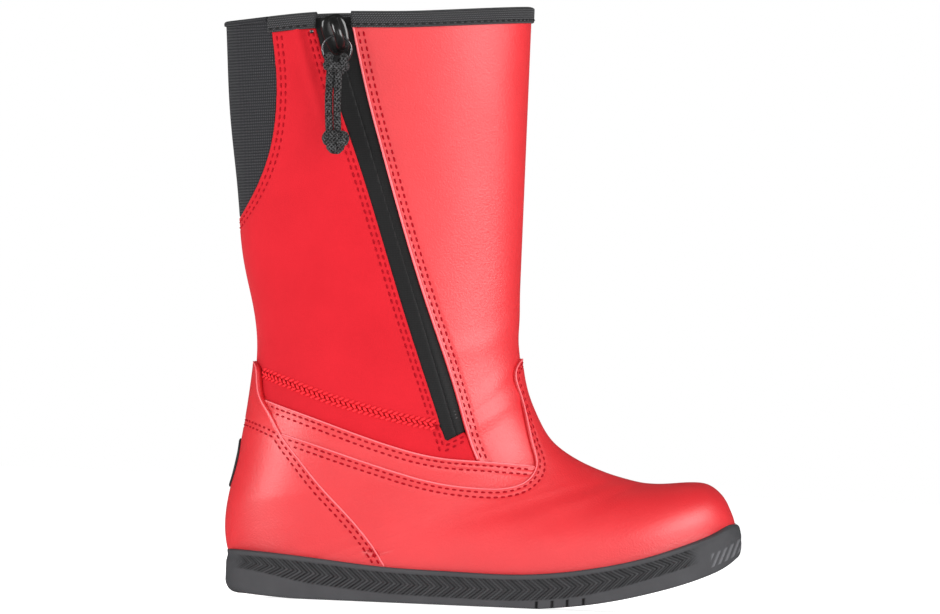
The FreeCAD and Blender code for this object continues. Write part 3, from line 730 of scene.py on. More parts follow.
FOLD_DIRECTION = np.array([FOLD_TOP[0] - FOLD_BOTTOM[0], FOLD_TOP[1] - FOLD_BOTTOM[1]])
FOLD_DIRECTION = FOLD_DIRECTION / np.linalg.norm(FOLD_DIRECTION)


def bend_with_flap(piece):
    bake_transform(piece)


def groove(row, depth=0.30, width=0.5):
    """The dip that a line of stitches pulls into the sheet."""
    return -depth * np.exp(-(row / width) ** 2)


def ridge(points, width, height):
    """A soft swelling along a side-view line."""
    return height * np.exp(-(signed(points, 4.0) / width) ** 2)


HEIGHT = P[..., 2]
FRONT_ROWS = (FRONT + 1.9, FRONT + 3.7)
REAR_ROWS = (REAR - 1.4, REAR - 3.1)
GORE_ROWS = (GORE - 1.9, GORE - 3.7)
BAND_ROWS = (BAND + 1.5, BAND + 3.5)
VAMP_ROWS = (VAMP + 1.5, VAMP + 3.4)
COUNTER_ROWS = (COUNTER + 1.5, COUNTER + 3.4)
END_ROWS = (END + 1.3, END + 2.9)
TAB = on_surface(signed([(-98, 63.4), (-87.2, 61.3), (-80.5, 58.9), (-74, 56)]))
TAB_ROWS = (TAB - 1.8, TAB)            # the counter rows turn back to the heel along these
FLAT_DIP = groove(FLAT, 0.3, 2.0)
# The slight unevenness of sewn and lasted sheets.
HAND = (0.10 * np.sin(AROUND / 9.0 + ALONG / 31.0) * np.sin(ALONG / 12.0 + 0.6)
        + 0.07 * np.sin(AROUND / 5.3 + 2.0) * np.sin(ALONG / 7.1 + AROUND / 23.0))
HAND *= 0.18 + 0.45 * smooth_step((HEIGHT - 66.0) / 24.0)
HAND[:, :SEAM_FADE] *= np.linspace(0, 1, SEAM_FADE)
HAND[:, -SEAM_FADE:] *= np.linspace(1, 0, SEAM_FADE)

CUT = TOP + 1.2                                   # cut edge of the panels under the binding
FRONT_ZONE = np.where(SIDE < 0, FRONT, ZIP_MID)   # below zero towards the toe
IN_SOLE = -(SOLE + 6.0)                           # below zero above the hidden part
NEAR_ZIP = TOP + 5.2                              # lower cut where the bindings end beside the zip

front_field = most(CUT, FRONT_ZONE, -BAND - 6, -VAMP - 5,
                   np.where((SIDE < 0) & (FRONT > -3), NEAR_ZIP, -9))
outer_lip = 0.42 * smooth_step(1 - np.abs(FRONT + 0.8) / 1.1)
front_lift = np.where(SIDE < 0, outer_lip + groove(FRONT_ROWS[0]) + groove(FRONT_ROWS[1]), 0.0)
ankle_folds = (ridge([(-11, 61), (-2, 67), (9, 76)], 3.2, 0.55)
               + ridge([(-6, 72), (2, 80), (9, 89)], 3.0, 0.3)
               + ridge([(-9, 92), (2, 97), (9, 104)], 4.0, 0.25))
FRONT_FACE = -(front_lift + HAND + ankle_folds)
front = shell("front_panel_leather", front_field, 0.0, BASE_BACK, RED, lift=-FRONT_FACE)
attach(front, "boot")
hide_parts("front_panel")

rear_field = most(CUT, -REAR, -GORE, -FLAT, SIDE, np.where(REAR < 3, NEAR_ZIP, -9))
zip_fold = 0.9 * np.exp(-((REAR - 6.6) / 2.3) ** 2) * smooth_step((HEIGHT - 145) / 45)
seat_dip = -0.5 * np.exp(-((REAR - 4.4) / 1.3) ** 2) * smooth_step((HEIGHT - 150) / 40)
rear_lift = HAND + zip_fold + seat_dip + sum(groove(row) for row in REAR_ROWS + GORE_ROWS) + FLAT_DIP
REAR_FACE = -rear_lift
rear = shell("rear_panel_softshell", rear_field, 0.0, BASE_BACK, SOFT_RED, lift=rear_lift)
bend_with_flap(rear)
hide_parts("rear_panel", "rear_panel_flap")

inner_field = most(CUT, -ZIP_MID, -GORE, -FLAT, -SIDE)
inner = shell("medial_panel_softshell", inner_field, 0.0, BASE_BACK, SOFT_RED,
              lift=HAND + sum(groove(row) for row in GORE_ROWS) + FLAT_DIP)
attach(inner, "boot")
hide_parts("medial_rear_panel")

lower_outer = most(np.minimum(most(FLAT, -REAR), most(END, REAR - 0.3)), -FRONT, -BAND - 4)
lower_inner = most(FLAT, -ZIP_MID, -BAND - 4)
lower = shell("lower_panel_softshell", np.where(SIDE < 0, lower_outer, lower_inner), 0.05, BASE_BACK,
              SOFT_RED, lift=HAND + FLAT_DIP)
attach(lower, "boot")
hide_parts("lower_rear_panel")

gore = shell("gore_elastic", most(GORE - 0.3, TOP + 1.0), 0.35, BASE_BACK, GORE_CLOTH)
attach(gore, "boot")
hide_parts("elastic_gore")

band_field = most(BAND, -VAMP - 2.5, -COUNTER - 3)
band_lift = (HAND + 0.25 * smooth_step(1 - np.abs(BAND + 0.8) / 1.0)
             + sum(groove(row) for row in BAND_ROWS))
band = shell("ankle_band_leather", band_field, BAND_FACE, 0.0, RED, 0.6, lift=band_lift)
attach(band, "boot")
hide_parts("ankle_band")

vamp_lift = (HAND + 0.22 * smooth_step(1 - np.abs(VAMP + 0.9) / 1.1)
             + sum(groove(row) for row in VAMP_ROWS))
vamp = shell("vamp_leather", most(VAMP, -COUNTER - 3, IN_SOLE), VAMP_FACE, -0.05, RED, lift=vamp_lift)
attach(vamp, "boot")
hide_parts("vamp", "vamp_interlining", "toe_puff")

FREE_EDGE = smooth_step(np.abs(N[..., 1]) / 0.75)      # none at the back seam, full at the sides
tab_lift = 1.5 * smooth_step((HEIGHT - 58) / 20.0) * smooth_step(1 + COUNTER / 4.0) * FREE_EDGE
counter_lift = (HAND + 0.3 * smooth_step(1 + COUNTER / 5.0) * FREE_EDGE + tab_lift
                + sum(groove(row) * (tab < 0) + groove(tab) * (row < 0)
                      for row, tab in zip(COUNTER_ROWS, TAB_ROWS)))
counter = shell("heel_counter_leather", most(COUNTER, IN_SOLE), VAMP_FACE, 0.0, RED, 0.9,
                lift=counter_lift)
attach(counter, "boot")
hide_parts("heel_counter", "heel_stiffener")

# Lining: one sock inside, and a separate part behind the zip.
lining_gap = np.where(SIDE < 0, most(-REAR, FRONT), 1.0)
flap_zone = most(-REAR, -GORE, SIDE, 88.0 - HEIGHT, -signed([FOLD_TOP, FOLD_BOTTOM]))
lining_field = most(CUT, -most(REAR - 1.0, -FRONT - 1.0, SIDE), -flap_zone)
lining_main = shell("lining_sock", lining_field, LINING_FACE, LINING_BACK, LINING_CLOTH, 0.3)
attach(lining_main, "boot")
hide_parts("lining_shaft", "lining_foot")
lining_part = shell("lining_behind_zip", most(CUT, flap_zone), LINING_FACE, LINING_BACK,
                    LINING_CLOTH, 0.3)
bend_with_flap(lining_part)
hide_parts("lining_flap")

# Zip tapes.
tape_field = most(REAR - 0.3, -FRONT - 0.3, -END, TOP + 2.2, SIDE)
crown = 0.22 * np.exp(-(ZIP_MID / 1.9) ** 2) - 0.12 * np.exp(-(ZIP_MID / 0.4) ** 2)
tape_rear = shell("zip_tape_rear_twill", most(tape_field, -ZIP_MID), TAPE_FACE, TAPE_BACK,
                  TAPE_CLOTH, 0.1, crown)
bend_with_flap(tape_rear)
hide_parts("zip_tape_rear", "zip_tape_lower")
tape_front = shell("zip_tape_front_twill", most(tape_field, ZIP_MID), TAPE_FACE, TAPE_BACK,
                   TAPE_CLOTH, 0.1, crown)
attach(tape_front, "boot")
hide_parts("zip_tape_front")


# ---------------------------------------------------------------- top binding and gore hem
def column_at(field_level):
    """Where TOP has one value in each grid column: points and normals."""
    points = np.zeros((COLUMNS, 3))
    normals = np.zeros((COLUMNS, 3))
    for column in range(COLUMNS):
        values = TOP[:, column] - field_level
        row = int(np.nonzero((values[:-1] > 0) & (values[1:] <= 0))[0][0])
        t = values[row] / (values[row] - values[row + 1])
        points[column] = P[row, column] * (1 - t) + P[row + 1, column] * t
        normals[column] = N[row, column] * (1 - t) + N[row + 1, column] * t
    normals /= np.linalg.norm(normals, axis=1, keepdims=True)
    return points, normals


def hem(name, keep, height, inner_height, outer, inner, cloth):
    """A folded strip over the top edge. keep(point) says which columns it covers."""
    top, top_normal = column_at(0.0)
    middle, middle_normal = column_at(-height / 2)
    low, low_normal = column_at(-height)
    inside_low, inside_normal = column_at(-inner_height)
    chosen = [c for c in range(COLUMNS) if keep(top[c])]
    breaks = [i for i in range(len(chosen)) if (chosen[i] - chosen[i - 1]) % COLUMNS != 1]
    if breaks:
        start = breaks[0]
        chosen = chosen[start:] + chosen[:start]
    rows = []
    for c in chosen:
        down = low[c] - top[c]
        down /= np.linalg.norm(down)
        n = top_normal[c]
        round_top = [top[c] - down * (math.sin(a) * 0.9) + down * 0.9
                     + n * ((outer + inner) / 2 * math.cos(a) + (outer - inner) / 2)
                     for a in np.linspace(0, math.pi, 9)]
        rows.append([low[c] + low_normal[c] * -0.1,
                     low[c] + low_normal[c] * (outer * 0.6) - down * 0.03,
                     low[c] + low_normal[c] * outer - down * 0.35,
                     middle[c] + middle_normal[c] * outer]
                    + round_top
                    + [inside_low[c] - inside_normal[c] * inner - down * 0.3,
                       inside_low[c] - inside_normal[c] * (inner * 0.8)])
    rings = len(rows[0])
    vertices = np.asarray(rows).reshape(-1, 3)
    faces = []
    for i in range(len(rows) - 1):
        for k in range(rings):
            a = i * rings + k
            b = i * rings + (k + 1) % rings
            faces.append([a, b, b + rings, a + rings])
    faces.append(list(reversed(range(rings))))
    last = (len(rows) - 1) * rings
    faces.append(list(range(last, last + rings)))
    across = np.cumsum([0] + [float(np.linalg.norm(np.subtract(a[3], b[3])))
                              for a, b in zip(rows[1:], rows[:-1])])
    round_strip = np.concatenate([[0], np.cumsum(np.linalg.norm(np.diff(rows[0], axis=0), axis=1))])
    uv = np.array([[s + 0.9 * down, down] for s in across for down in round_strip])
    return new_object(name, vertices, faces, cloth, uv)


GORE_CORNER = -86.0
binding_rear = hem("binding_rear_grosgrain",
                   lambda p: p[1] < 0 and GORE_CORNER < p[0] < -68.6, BINDING, 5.0, 1.0, 3.3, GROSGRAIN)
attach(binding_rear, "flap")
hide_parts("top_binding_rear")
binding_front = hem("binding_front_grosgrain",
                    lambda p: (p[1] < 0 and p[0] > -57.0) or (p[1] >= 0 and p[0] > GORE_CORNER),
                    BINDING, 5.0, 1.0, 3.3, GROSGRAIN)
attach(binding_front, "boot")
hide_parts("top_binding_front")
hem_piece = hem("gore_hem_elastic", lambda p: p[0] <= GORE_CORNER, 1.9, 1.9, 0.35, 2.4, GORE_CLOTH)
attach(hem_piece, "boot")
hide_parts("gore_hem")

# ---------------------------------------------------------------- seams
BELOW_TOP = TOP + 6.4
BARE = -HAND
COUNTER_FACE = VAMP_FACE - counter_lift
close_red = [(row, -COUNTER + 0.7, VAMP_FACE - vamp_lift) for row in VAMP_ROWS]
close_red += [(row, most(-VAMP + 0.8, -COUNTER + 0.8), BAND_FACE - band_lift) for row in BAND_ROWS]
for row, tab in zip(COUNTER_ROWS, TAB_ROWS):
    close_red += [(row, most(tab, -SOLE + 0.6), COUNTER_FACE), (tab, row, COUNTER_FACE)]
close_red += [(row, most(SIDE, REAR - edge, -FRONT + 0.5), BARE + 0.05)
              for row, edge in zip(END_ROWS, (1.4, 3.1))]
seams = stitches("stitches_red_boot", close_red, RED_THREAD, BOOT_STITCH, THREAD, 0.8)
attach(seams, "boot")
long_red = [(ZIP_MID + shift, most(-SIDE, BELOW_TOP, -BAND + 0.6), BARE) for shift in (1.8, 3.8)]
long_red += [(row, most(-SIDE, BELOW_TOP), BARE + 0.2) for row in GORE_ROWS]
long_red += [(row, most(SIDE, BELOW_TOP, -BAND + 0.4), FRONT_FACE) for row in FRONT_ROWS]
shaft_seams = stitches("stitches_red_shaft", long_red, RED_THREAD, SHAFT_STITCH, THREAD, 0.82)
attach(shaft_seams, "boot")
flap_red = [(row, most(SIDE, BELOW_TOP, -END - edge), np.where(FLAT > 0, REAR_FACE, BARE + 0.05))
            for row, edge in zip(REAR_ROWS, (1.3, 2.9))]
flap_red += [(row, most(SIDE, BELOW_TOP), REAR_FACE) for row in GORE_ROWS]
flap_seams = stitches("stitches_red_flap", flap_red, RED_THREAD, FLAP_STITCH, THREAD, 0.82)
bend_with_flap(flap_seams)
BINDING_SEAM = TOP + 4.7
BINDING_FACE = np.full(SIDE.shape, -1.0)
FINE_THREAD = 0.3
binding_row = [(BINDING_SEAM, np.where(SIDE < 0, -57.5, GORE_CORNER) - P[..., 0], BINDING_FACE)]
binding_seam = stitches("stitches_binding_front", binding_row, GREY_THREAD, BOOT_STITCH, FINE_THREAD)
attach(binding_seam, "boot")
rear_row = [(BINDING_SEAM, most(SIDE, GORE_CORNER + 0.6 - P[..., 0], P[..., 0] + 70.6), BINDING_FACE)]
rear_seam = stitches("stitches_binding_rear", rear_row, GREY_THREAD, BOOT_STITCH, FINE_THREAD)
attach(rear_seam, "flap")


def flatlock(name, mask):
    """Three-row zigzag cover seam: slanting threads between two edge rows."""
    shape, faces = thread_shape(2.3, 0.46)
    places, normals, alongs = [], [], []
    for line in row_lines(FLAT, mask):
        found = resample(read_line(line, P), read_line(line, N), 2.0)
        if found is None:
            continue
        place, normal, along = found
        across = np.cross(normal, along)
        for row, sway in ((-1.3, 1), (0.0, -1), (1.3, 1)):
            slant = along * 0.8 + across * sway * 0.6
            slant /= np.linalg.norm(slant, axis=1, keepdims=True)
            places.append(place + along * 0.4 * sway + across * row + normal * 0.15)
            normals.append(normal)
            alongs.append(slant)
    vertices, all_faces = place_copies(shape, faces, np.vstack(places),
                                       np.vstack(normals), np.vstack(alongs))
    return new_object(name, vertices, all_faces, COVER_THREAD)


cover = flatlock("flatlock_outer", most(SIDE, -REAR + 1.3, -COUNTER + 0.4))
bend_with_flap(cover)
cover_inner = flatlock("flatlock_inner", most(-SIDE, -ZIP_MID + 1.0, -COUNTER + 0.4))
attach(cover_inner, "boot")


def bead(name, rows, material, radius):
    """A fine raw edge along each (field, mask, depth grid) line."""
    parts = []
    for field, mask, depth in rows:
        for line in row_lines(field, mask):
            path = read_line(line, P) - read_line(line, N) * read_line(line, depth)
            keep = [0]
            for k in range(1, len(path)):
                if np.linalg.norm(path[k] - path[keep[-1]]) > 0.5:
                    keep.append(k)
            if len(keep) > 4:
                parts.append(tube(path[keep], radius, 6))
    shape, faces = joined(parts)
    return new_object(name, shape, faces, material)


# ---------------------------------------------------------------- zip hardware
TOP_3D = np.array([-64.1, -33.2, 210.9])
BOTTOM_3D = np.array([-11.7, -27.6, 60.7])
DOWN = (BOTTOM_3D - TOP_3D) / np.linalg.norm(BOTTOM_3D - TOP_3D)
OUT = np.array([0.0, -1.0, 0.0])
OUT = OUT - DOWN * OUT.dot(DOWN)
OUT = OUT / np.linalg.norm(OUT)
ACROSS = np.cross(OUT, DOWN)
ZIP_LENGTH = float(np.linalg.norm(BOTTOM_3D - TOP_3D))


def on_zip(points):
    """From the zip's own axes (down the zip, to the toe, outwards) to the frame."""
    points = np.asarray(points, float)
    return TOP_3D + points[:, :1] * DOWN + points[:, 1:2] * ACROSS + points[:, 2:3] * OUT


def lathe_stack(outline, levels):
    """A solid of stacked outlines. levels are (scale, height); returns vertices and faces."""
    outline = np.asarray(outline, float)
    centre = outline.mean(axis=0)
    count = len(outline)
    vertices = []
    for scale, height in levels:
        ring = centre + (outline - centre) * scale
        vertices += [(x, y, height) for x, y in ring]
    faces = []
    for level in range(len(levels) - 1):
        for i in range(count):
            a = level * count + i
            b = level * count + (i + 1) % count
            faces.append([a, b, b + count, a + count])
    faces.append(list(reversed(range(count))))
    top = (len(levels) - 1) * count
    faces.append(list(range(top, top + count)))
    return np.asarray(vertices), faces


def tube(points, radius, sides=14, closed=False, bumps=None):
    """Round tube along points, in millimetres. bumps(k, turn) gives a height added to the radius."""
    points = np.asarray(points, float)
    count = len(points)
    ahead = np.roll(points, -1, axis=0) - np.roll(points, 1, axis=0)
    if not closed:
        ahead[0] = points[1] - points[0]
        ahead[-1] = points[-1] - points[-2]
    ahead /= np.linalg.norm(ahead, axis=1, keepdims=True)
    side = np.cross(ahead[0], [0.31, 0.52, 0.79])
    rings = []
    for i in range(count):
        side = side - ahead[i] * side.dot(ahead[i])
        side /= np.linalg.norm(side)
        up = np.cross(ahead[i], side)
        for k in range(sides):
            turn = 2 * math.pi * k / sides
            size = radius if bumps is None else radius + bumps(i, turn)
            rings.append(points[i] + (side * math.cos(turn) + up * math.sin(turn)) * size)
    faces = []
    for i in range(count if closed else count - 1):
        for k in range(sides):
            a = i * sides + k
            b = i * sides + (k + 1) % sides
            after = ((i + 1) % count) * sides
            faces.append([a, b, after + (k + 1) % sides, after + k])
    if not closed:
        faces.append(list(reversed(range(sides))))
        faces.append(list(range((count - 1) * sides, count * sides)))
    return np.asarray(rings), faces


def joined(parts):
    """Several (vertices, faces) pairs as one."""
    vertices, faces = [], []
    base = 0
    for shape, loops in parts:
        vertices.append(shape)
        faces += [[v + base for v in loop] for loop in loops]
        base += len(shape)
    return np.vstack(vertices), faces


def loop_path(points, count):
    points = np.asarray(points, float)
    steps = np.concatenate([[0], np.cumsum(np.linalg.norm(np.diff(points, axis=0), axis=1))])
    return natural_spline(steps, points, np.linspace(0, steps[-1], count))


# These beads carry the pink edge colour: partly the cut edge's own tone, partly a painted highlight.
edges = bead("raw_edges_leather", [
    (BAND + 0.3, most(-VAMP + 0.1, -COUNTER + 0.1), -0.62 - band_lift),
    (VAMP + 0.3, most(-COUNTER + 0.1, -SOLE + 0.3), -1.12 - vamp_lift),
    (COUNTER + 0.35, most(-SOLE + 0.3), -1.05 - counter_lift)], EDGE_TONE_AND_HIGHLIGHT, 0.27)
lip = bead("raw_edge_zip_lip", [(FRONT + 0.45, most(SIDE, NEAR_ZIP, -BAND + 0.2), FRONT_FACE + 0.1)],
           EDGE_TONE_AND_HIGHLIGHT, 0.42)
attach(lip, "boot")
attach(edges, "boot")

COIL_PITCH = 1.25


def coil(name, first, last, y, material):
    """A nylon coil: one helix of filament."""
    turns = (last - first) / COIL_PITCH
    t = np.linspace(0, 1, int(turns * 10))
    angle = 2 * math.pi * turns * t
    path = np.stack([first + (last - first) * t, y + 0.8 * np.cos(angle), -2.0 + 0.65 * np.sin(angle)],
                    axis=1)
    vertices, faces = tube(on_zip(path), 0.32, 6)
    return new_object(name, vertices, faces, material)


coil_front = coil("zip_coil_front_helix", 6.4, ZIP_LENGTH - 6, 1.3, COIL_PLASTIC)
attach(coil_front, "boot")
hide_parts("zip_coil_front")
coil_rear = coil("zip_coil_rear_helix", 6.4, 128, -1.3, COIL_PLASTIC)
bend_with_flap(coil_rear)
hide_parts("zip_coil_rear")


def rounded_box(x0, x1, y0, y1, z0, z1, bevel):
    """Corners of a softened block in the zip's axes."""
    inset = bevel
    outline = []
    for cx, cy, start in ((x1 - inset, y1 - inset, 0), (x0 + inset, y1 - inset, 90),
                          (x0 + inset, y0 + inset, 180), (x1 - inset, y0 + inset, 270)):
        for step in range(5):
            angle = math.radians(start + step * 22.5)
            outline.append((cx + inset * math.cos(angle), cy + inset * math.sin(angle)))
    edge = min(bevel, (z1 - z0) / 3)
    shrink = 1 - edge / max(x1 - x0, y1 - y0)
    return lathe_stack(outline, [(shrink * 0.97, z0), (0.99, z0 + edge * 0.4), (1, z0 + edge),
                                 (1, z1 - edge), (0.99, z1 - edge * 0.4), (shrink * 0.97, z1)])


shape, loops = rounded_box(ZIP_LENGTH - 5.5, ZIP_LENGTH - 3, -2.6, 2.6, -3.8, -2.2, 0.6)
stop_low = new_object("zip_stop_low", on_zip(shape), loops, RING_METAL)
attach(stop_low, "boot")
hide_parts("zip_bottom_stop")
shape, loops = rounded_box(4.4, 5.7, -8.6, -7.2, 0.6, 2.0, 0.5)
stop_top = new_object("zip_stop_top", on_zip(shape), loops, STEEL)
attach(stop_top, "flap")
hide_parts("zip_top_stop")

# Guard: a soft folded strip behind the zip.
guard_field = most(TOP + 2.4, -END - 4, REAR - 1.5, -FRONT - 4.0, SIDE)
guard = shell("zip_guard_strip", guard_field, 4.6, 5.6, LINING_CLOTH, 0.5)
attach(guard, "boot")
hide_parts("zip_guard")

# Slider body: a shield-shaped top plate, a post and an underplate.
shield = []
for step in range(44):
    angle = 2 * math.pi * step / 44
    c, s = math.cos(angle), math.sin(angle)
    x = 8.6 + 7.3 * math.copysign(abs(c) ** 0.62, c)
    taper = 1.0 - 0.17 * smooth_step((x - 6) / 10.0)
    shield.append((x, 0.2 + 4.7 * taper * math.copysign(abs(s) ** 0.55, s)))
plate = lathe_stack(shield, [(0.90, 0.1), (0.985, 0.2), (1.0, 0.5), (1.0, 1.05), (0.975, 1.5),
                             (0.90, 1.9), (0.78, 2.15), (0.55, 2.3), (0.2, 2.38)])
post = rounded_box(4.6, 10.5, -0.35, 0.35, -3.5, 0.4, 0.15)
lower_plate = rounded_box(3.2, 15, -3.4, 3.4, -4.3, -3.5, 0.5)
shape, loops = joined([plate, post, lower_plate])
slider = new_object("slider_shield", on_zip(shape), loops, BLACK_METAL)
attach(slider, "slider")
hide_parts("slider_body")

# Bail: an arched bridge, wide at its feet, that the ring hangs in.
arch = [(2.8, 0.4, 1.2), (3.2, 0.4, 3.8), (4.6, 0.5, 6.0), (7.2, 0.6, 7.15), (9.8, 0.6, 7.15),
        (12.0, 0.5, 6.0), (13.4, 0.4, 3.8), (14.0, 0.4, 1.4)]
shape, loops = tube(loop_path(arch, 60), 1.05, 16)
widen = 1.5 + 0.5 * np.clip((3.5 - shape[:, 2]) / 2.5, 0, 1)
shape[:, 1] *= widen
bail = new_object("slider_bridge", on_zip(shape), loops, BLACK_METAL)
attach(bail, "slider")
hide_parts("slider_bail")

# ---------------------------------------------------------------- pull: ring, cord, wrap, knot
HANG = on_zip([(8.9, 0.6, 6.0)])[0]
RING_RADIUS = 5.2
RING_WIRE = 0.4
RING_CENTRE = HANG - np.array([0, 0, RING_RADIUS])
turns = np.linspace(0, 2 * math.pi, 73)[:-1]
circle = RING_CENTRE + RING_RADIUS * np.stack([np.cos(turns), np.zeros_like(turns), np.sin(turns)], axis=1)
shape, loops = tube(circle, RING_WIRE, 12, closed=True)
ring = new_object("pull_ring_wire", shape, loops, RING_METAL)
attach(ring, "ring")
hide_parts("pull_ring")

RING_FOOT = RING_CENTRE - np.array([0, 0, RING_RADIUS])
CORD_TOP = RING_FOOT + np.array([-0.6, 0, -1.6])
KNOT = RING_FOOT + np.array([0.9, -1.3, -27.4])
STRAND = 1.5
CORD_DIAMETER = 2.8
ROUTE = [(KNOT[0] - 2.2, CORD_TOP[1], KNOT[2] + 2.0),
         (CORD_TOP[0] - STRAND - 0.2, CORD_TOP[1], CORD_TOP[2] - 14.0),
         (CORD_TOP[0] - STRAND, CORD_TOP[1], CORD_TOP[2]),
         (CORD_TOP[0] - STRAND * 0.7, CORD_TOP[1], CORD_TOP[2] + STRAND),
         (CORD_TOP[0] + STRAND * 0.7, CORD_TOP[1], CORD_TOP[2] + STRAND),
         (CORD_TOP[0] + STRAND, CORD_TOP[1], CORD_TOP[2]),
         (CORD_TOP[0] + STRAND - 0.2, CORD_TOP[1], CORD_TOP[2] - 14.0),
         (KNOT[0] + 0.6, CORD_TOP[1], KNOT[2] + 2.0)]
curve = bpy.data.curves.new("pull_cord_braid", "CURVE")
curve.dimensions = "3D"
curve.bevel_depth = CORD_DIAMETER / 2 * MM
curve.bevel_resolution = 6
curve.resolution_u = 16
spline = curve.splines.new("NURBS")
spline.points.add(len(ROUTE) - 1)
for point, place in zip(spline.points, ROUTE):
    point.co = (place[0] * MM, place[1] * MM, place[2] * MM, 1)
spline.order_u = 3
spline.use_endpoint_u = True
curve.materials.append(CORD_YARN)
cord = bpy.data.objects.new("pull_cord_braid", curve)
bpy.context.collection.objects.link(cord)


def strand_bumps(index, turn):
    """Low ribs of a round braid."""
    return 0.17 * math.sin(3 * turn + index * 0.55) * math.sin(3 * turn - index * 0.55)


FOOT = RING_FOOT + np.array([0, 0, 1.9])
front_bar = FOOT + loop_path([(-2.3, 1.2, -2.3), (-2.9, 0.2, -2.4), (-2.5, -1.1, -2.5), (-1.2, -1.6, -2.8),
                              (0, -1.6, -3.0), (1.2, -1.6, -2.8), (2.5, -1.1, -2.5), (2.9, 0.2, -2.4),
                              (2.3, 1.2, -2.3)], 60)
parts = [tube(front_bar, 1.9, 16, bumps=strand_bumps)]
for side in (-1, 1):
    over_ring = FOOT + loop_path([(side * 1.5, 0.6, -5.0), (side * 1.7, 1.3, -2.4),
                                  (side * 2.2, 1.35, -0.2), (side * 2.7, 0.0, 0.9),
                                  (side * 2.8, -1.3, -0.3), (side * 2.6, -1.5, -2.0)], 40)
    parts.append(tube(over_ring, 1.5, 16, bumps=strand_bumps))
shape, loops = joined(parts)
wrap = new_object("pull_wrap_hitch", shape, loops, CORD_YARN)
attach(wrap, "cord")
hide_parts("pull_wrap")

angles = np.linspace(0, 2 * math.pi, 121)[:-1]
trefoil = np.stack([(np.sin(angles) + 2 * np.sin(2 * angles)) * 1.12,
                    np.sin(3 * angles) * -1.5,
                    (np.cos(angles) - 2 * np.cos(2 * angles)) * 0.98], axis=1)
shape, loops = joined([tube(KNOT + trefoil, 1.9, 16, closed=True, bumps=strand_bumps),
                       tube(KNOT + loop_path([(0, 0, 2.2), (0.2, -0.3, 0), (0, 0, -2.6)], 12), 1.9, 14)])
knot = new_object("pull_knot_turns", shape, loops, CORD_YARN)
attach(knot, "cord")
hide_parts("pull_knot")
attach(cord, "cord")
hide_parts("pull_cord")


# ---------------------------------------------------------------- sole
STATIONS = 560
WALL = 44
ACROSS_CELLS = 60
TREAD_DEPTH = 1.3
RIB_PITCH = 1.62
SLITS = (19.2, 24.9, 30.3, 36.1)


def side_curve(points):
    line = smooth_line(points, 200)
    order = np.argsort(line[:, 0])
    return line[order]


top_line = side_curve(SOLE_TOP_EDGE)
under_line = side_curve(SOLE_UNDER)


def sole_top(x):
    return np.interp(x, top_line[:, 0], top_line[:, 1])


def sole_under(x):
    heel_rise = 1.0 * smooth_step((-66 - x) / 24.0)
    return np.where(x < 20, heel_rise, np.interp(x, under_line[:, 0], under_line[:, 1]))


theta = np.linspace(0, math.pi, STATIONS)
station = SOLE_HEEL + (SOLE_TOE - SOLE_HEEL) * (1 - np.cos(theta)) / 2
half_width = plan_half(station, SOLE_HEEL, SOLE_TOE, SOLE_LIP)
centre_line = plan_centre(station)
left = np.stack([station, centre_line - half_width], axis=1)
right = np.stack([station, centre_line + half_width], axis=1)[1:-1][::-1]
outline = np.vstack([left, right])                    # heel, along the outer side, toe, back
LOOP = len(outline)
ahead = np.roll(outline, -1, axis=0) - np.roll(outline, 1, axis=0)
ahead /= np.linalg.norm(ahead, axis=1, keepdims=True)
outward = np.stack([-ahead[:, 1], ahead[:, 0]], axis=1)
if (outward * (outline - outline.mean(axis=0))).sum() < 0:
    outward = -outward
travel = np.cumsum(np.linalg.norm(outline - np.roll(outline, 1, axis=0), axis=1))
outer_run = np.where(np.arange(LOOP) < STATIONS, travel, travel[-1] - travel + travel[0])

x_loop = outline[:, 0]
top_z = sole_top(x_loop)
low_z = sole_under(x_loop)
heelness = smooth_step((-80 - x_loop) / 12.0)
toeness = smooth_step((x_loop - 84.0) / 8.0)
corner = 1.3 + 3.8 * heelness + 1.6 * toeness
rim_round = 0.8 + 1.9 * toeness
heights = np.linspace(0, 1, WALL) ** 0.97
wall = np.zeros((WALL, LOOP, 3))
# Mask of the herringbone grooves and slits, darkened in the rubber as painted shade.
groove_shade = np.zeros((WALL, LOOP))
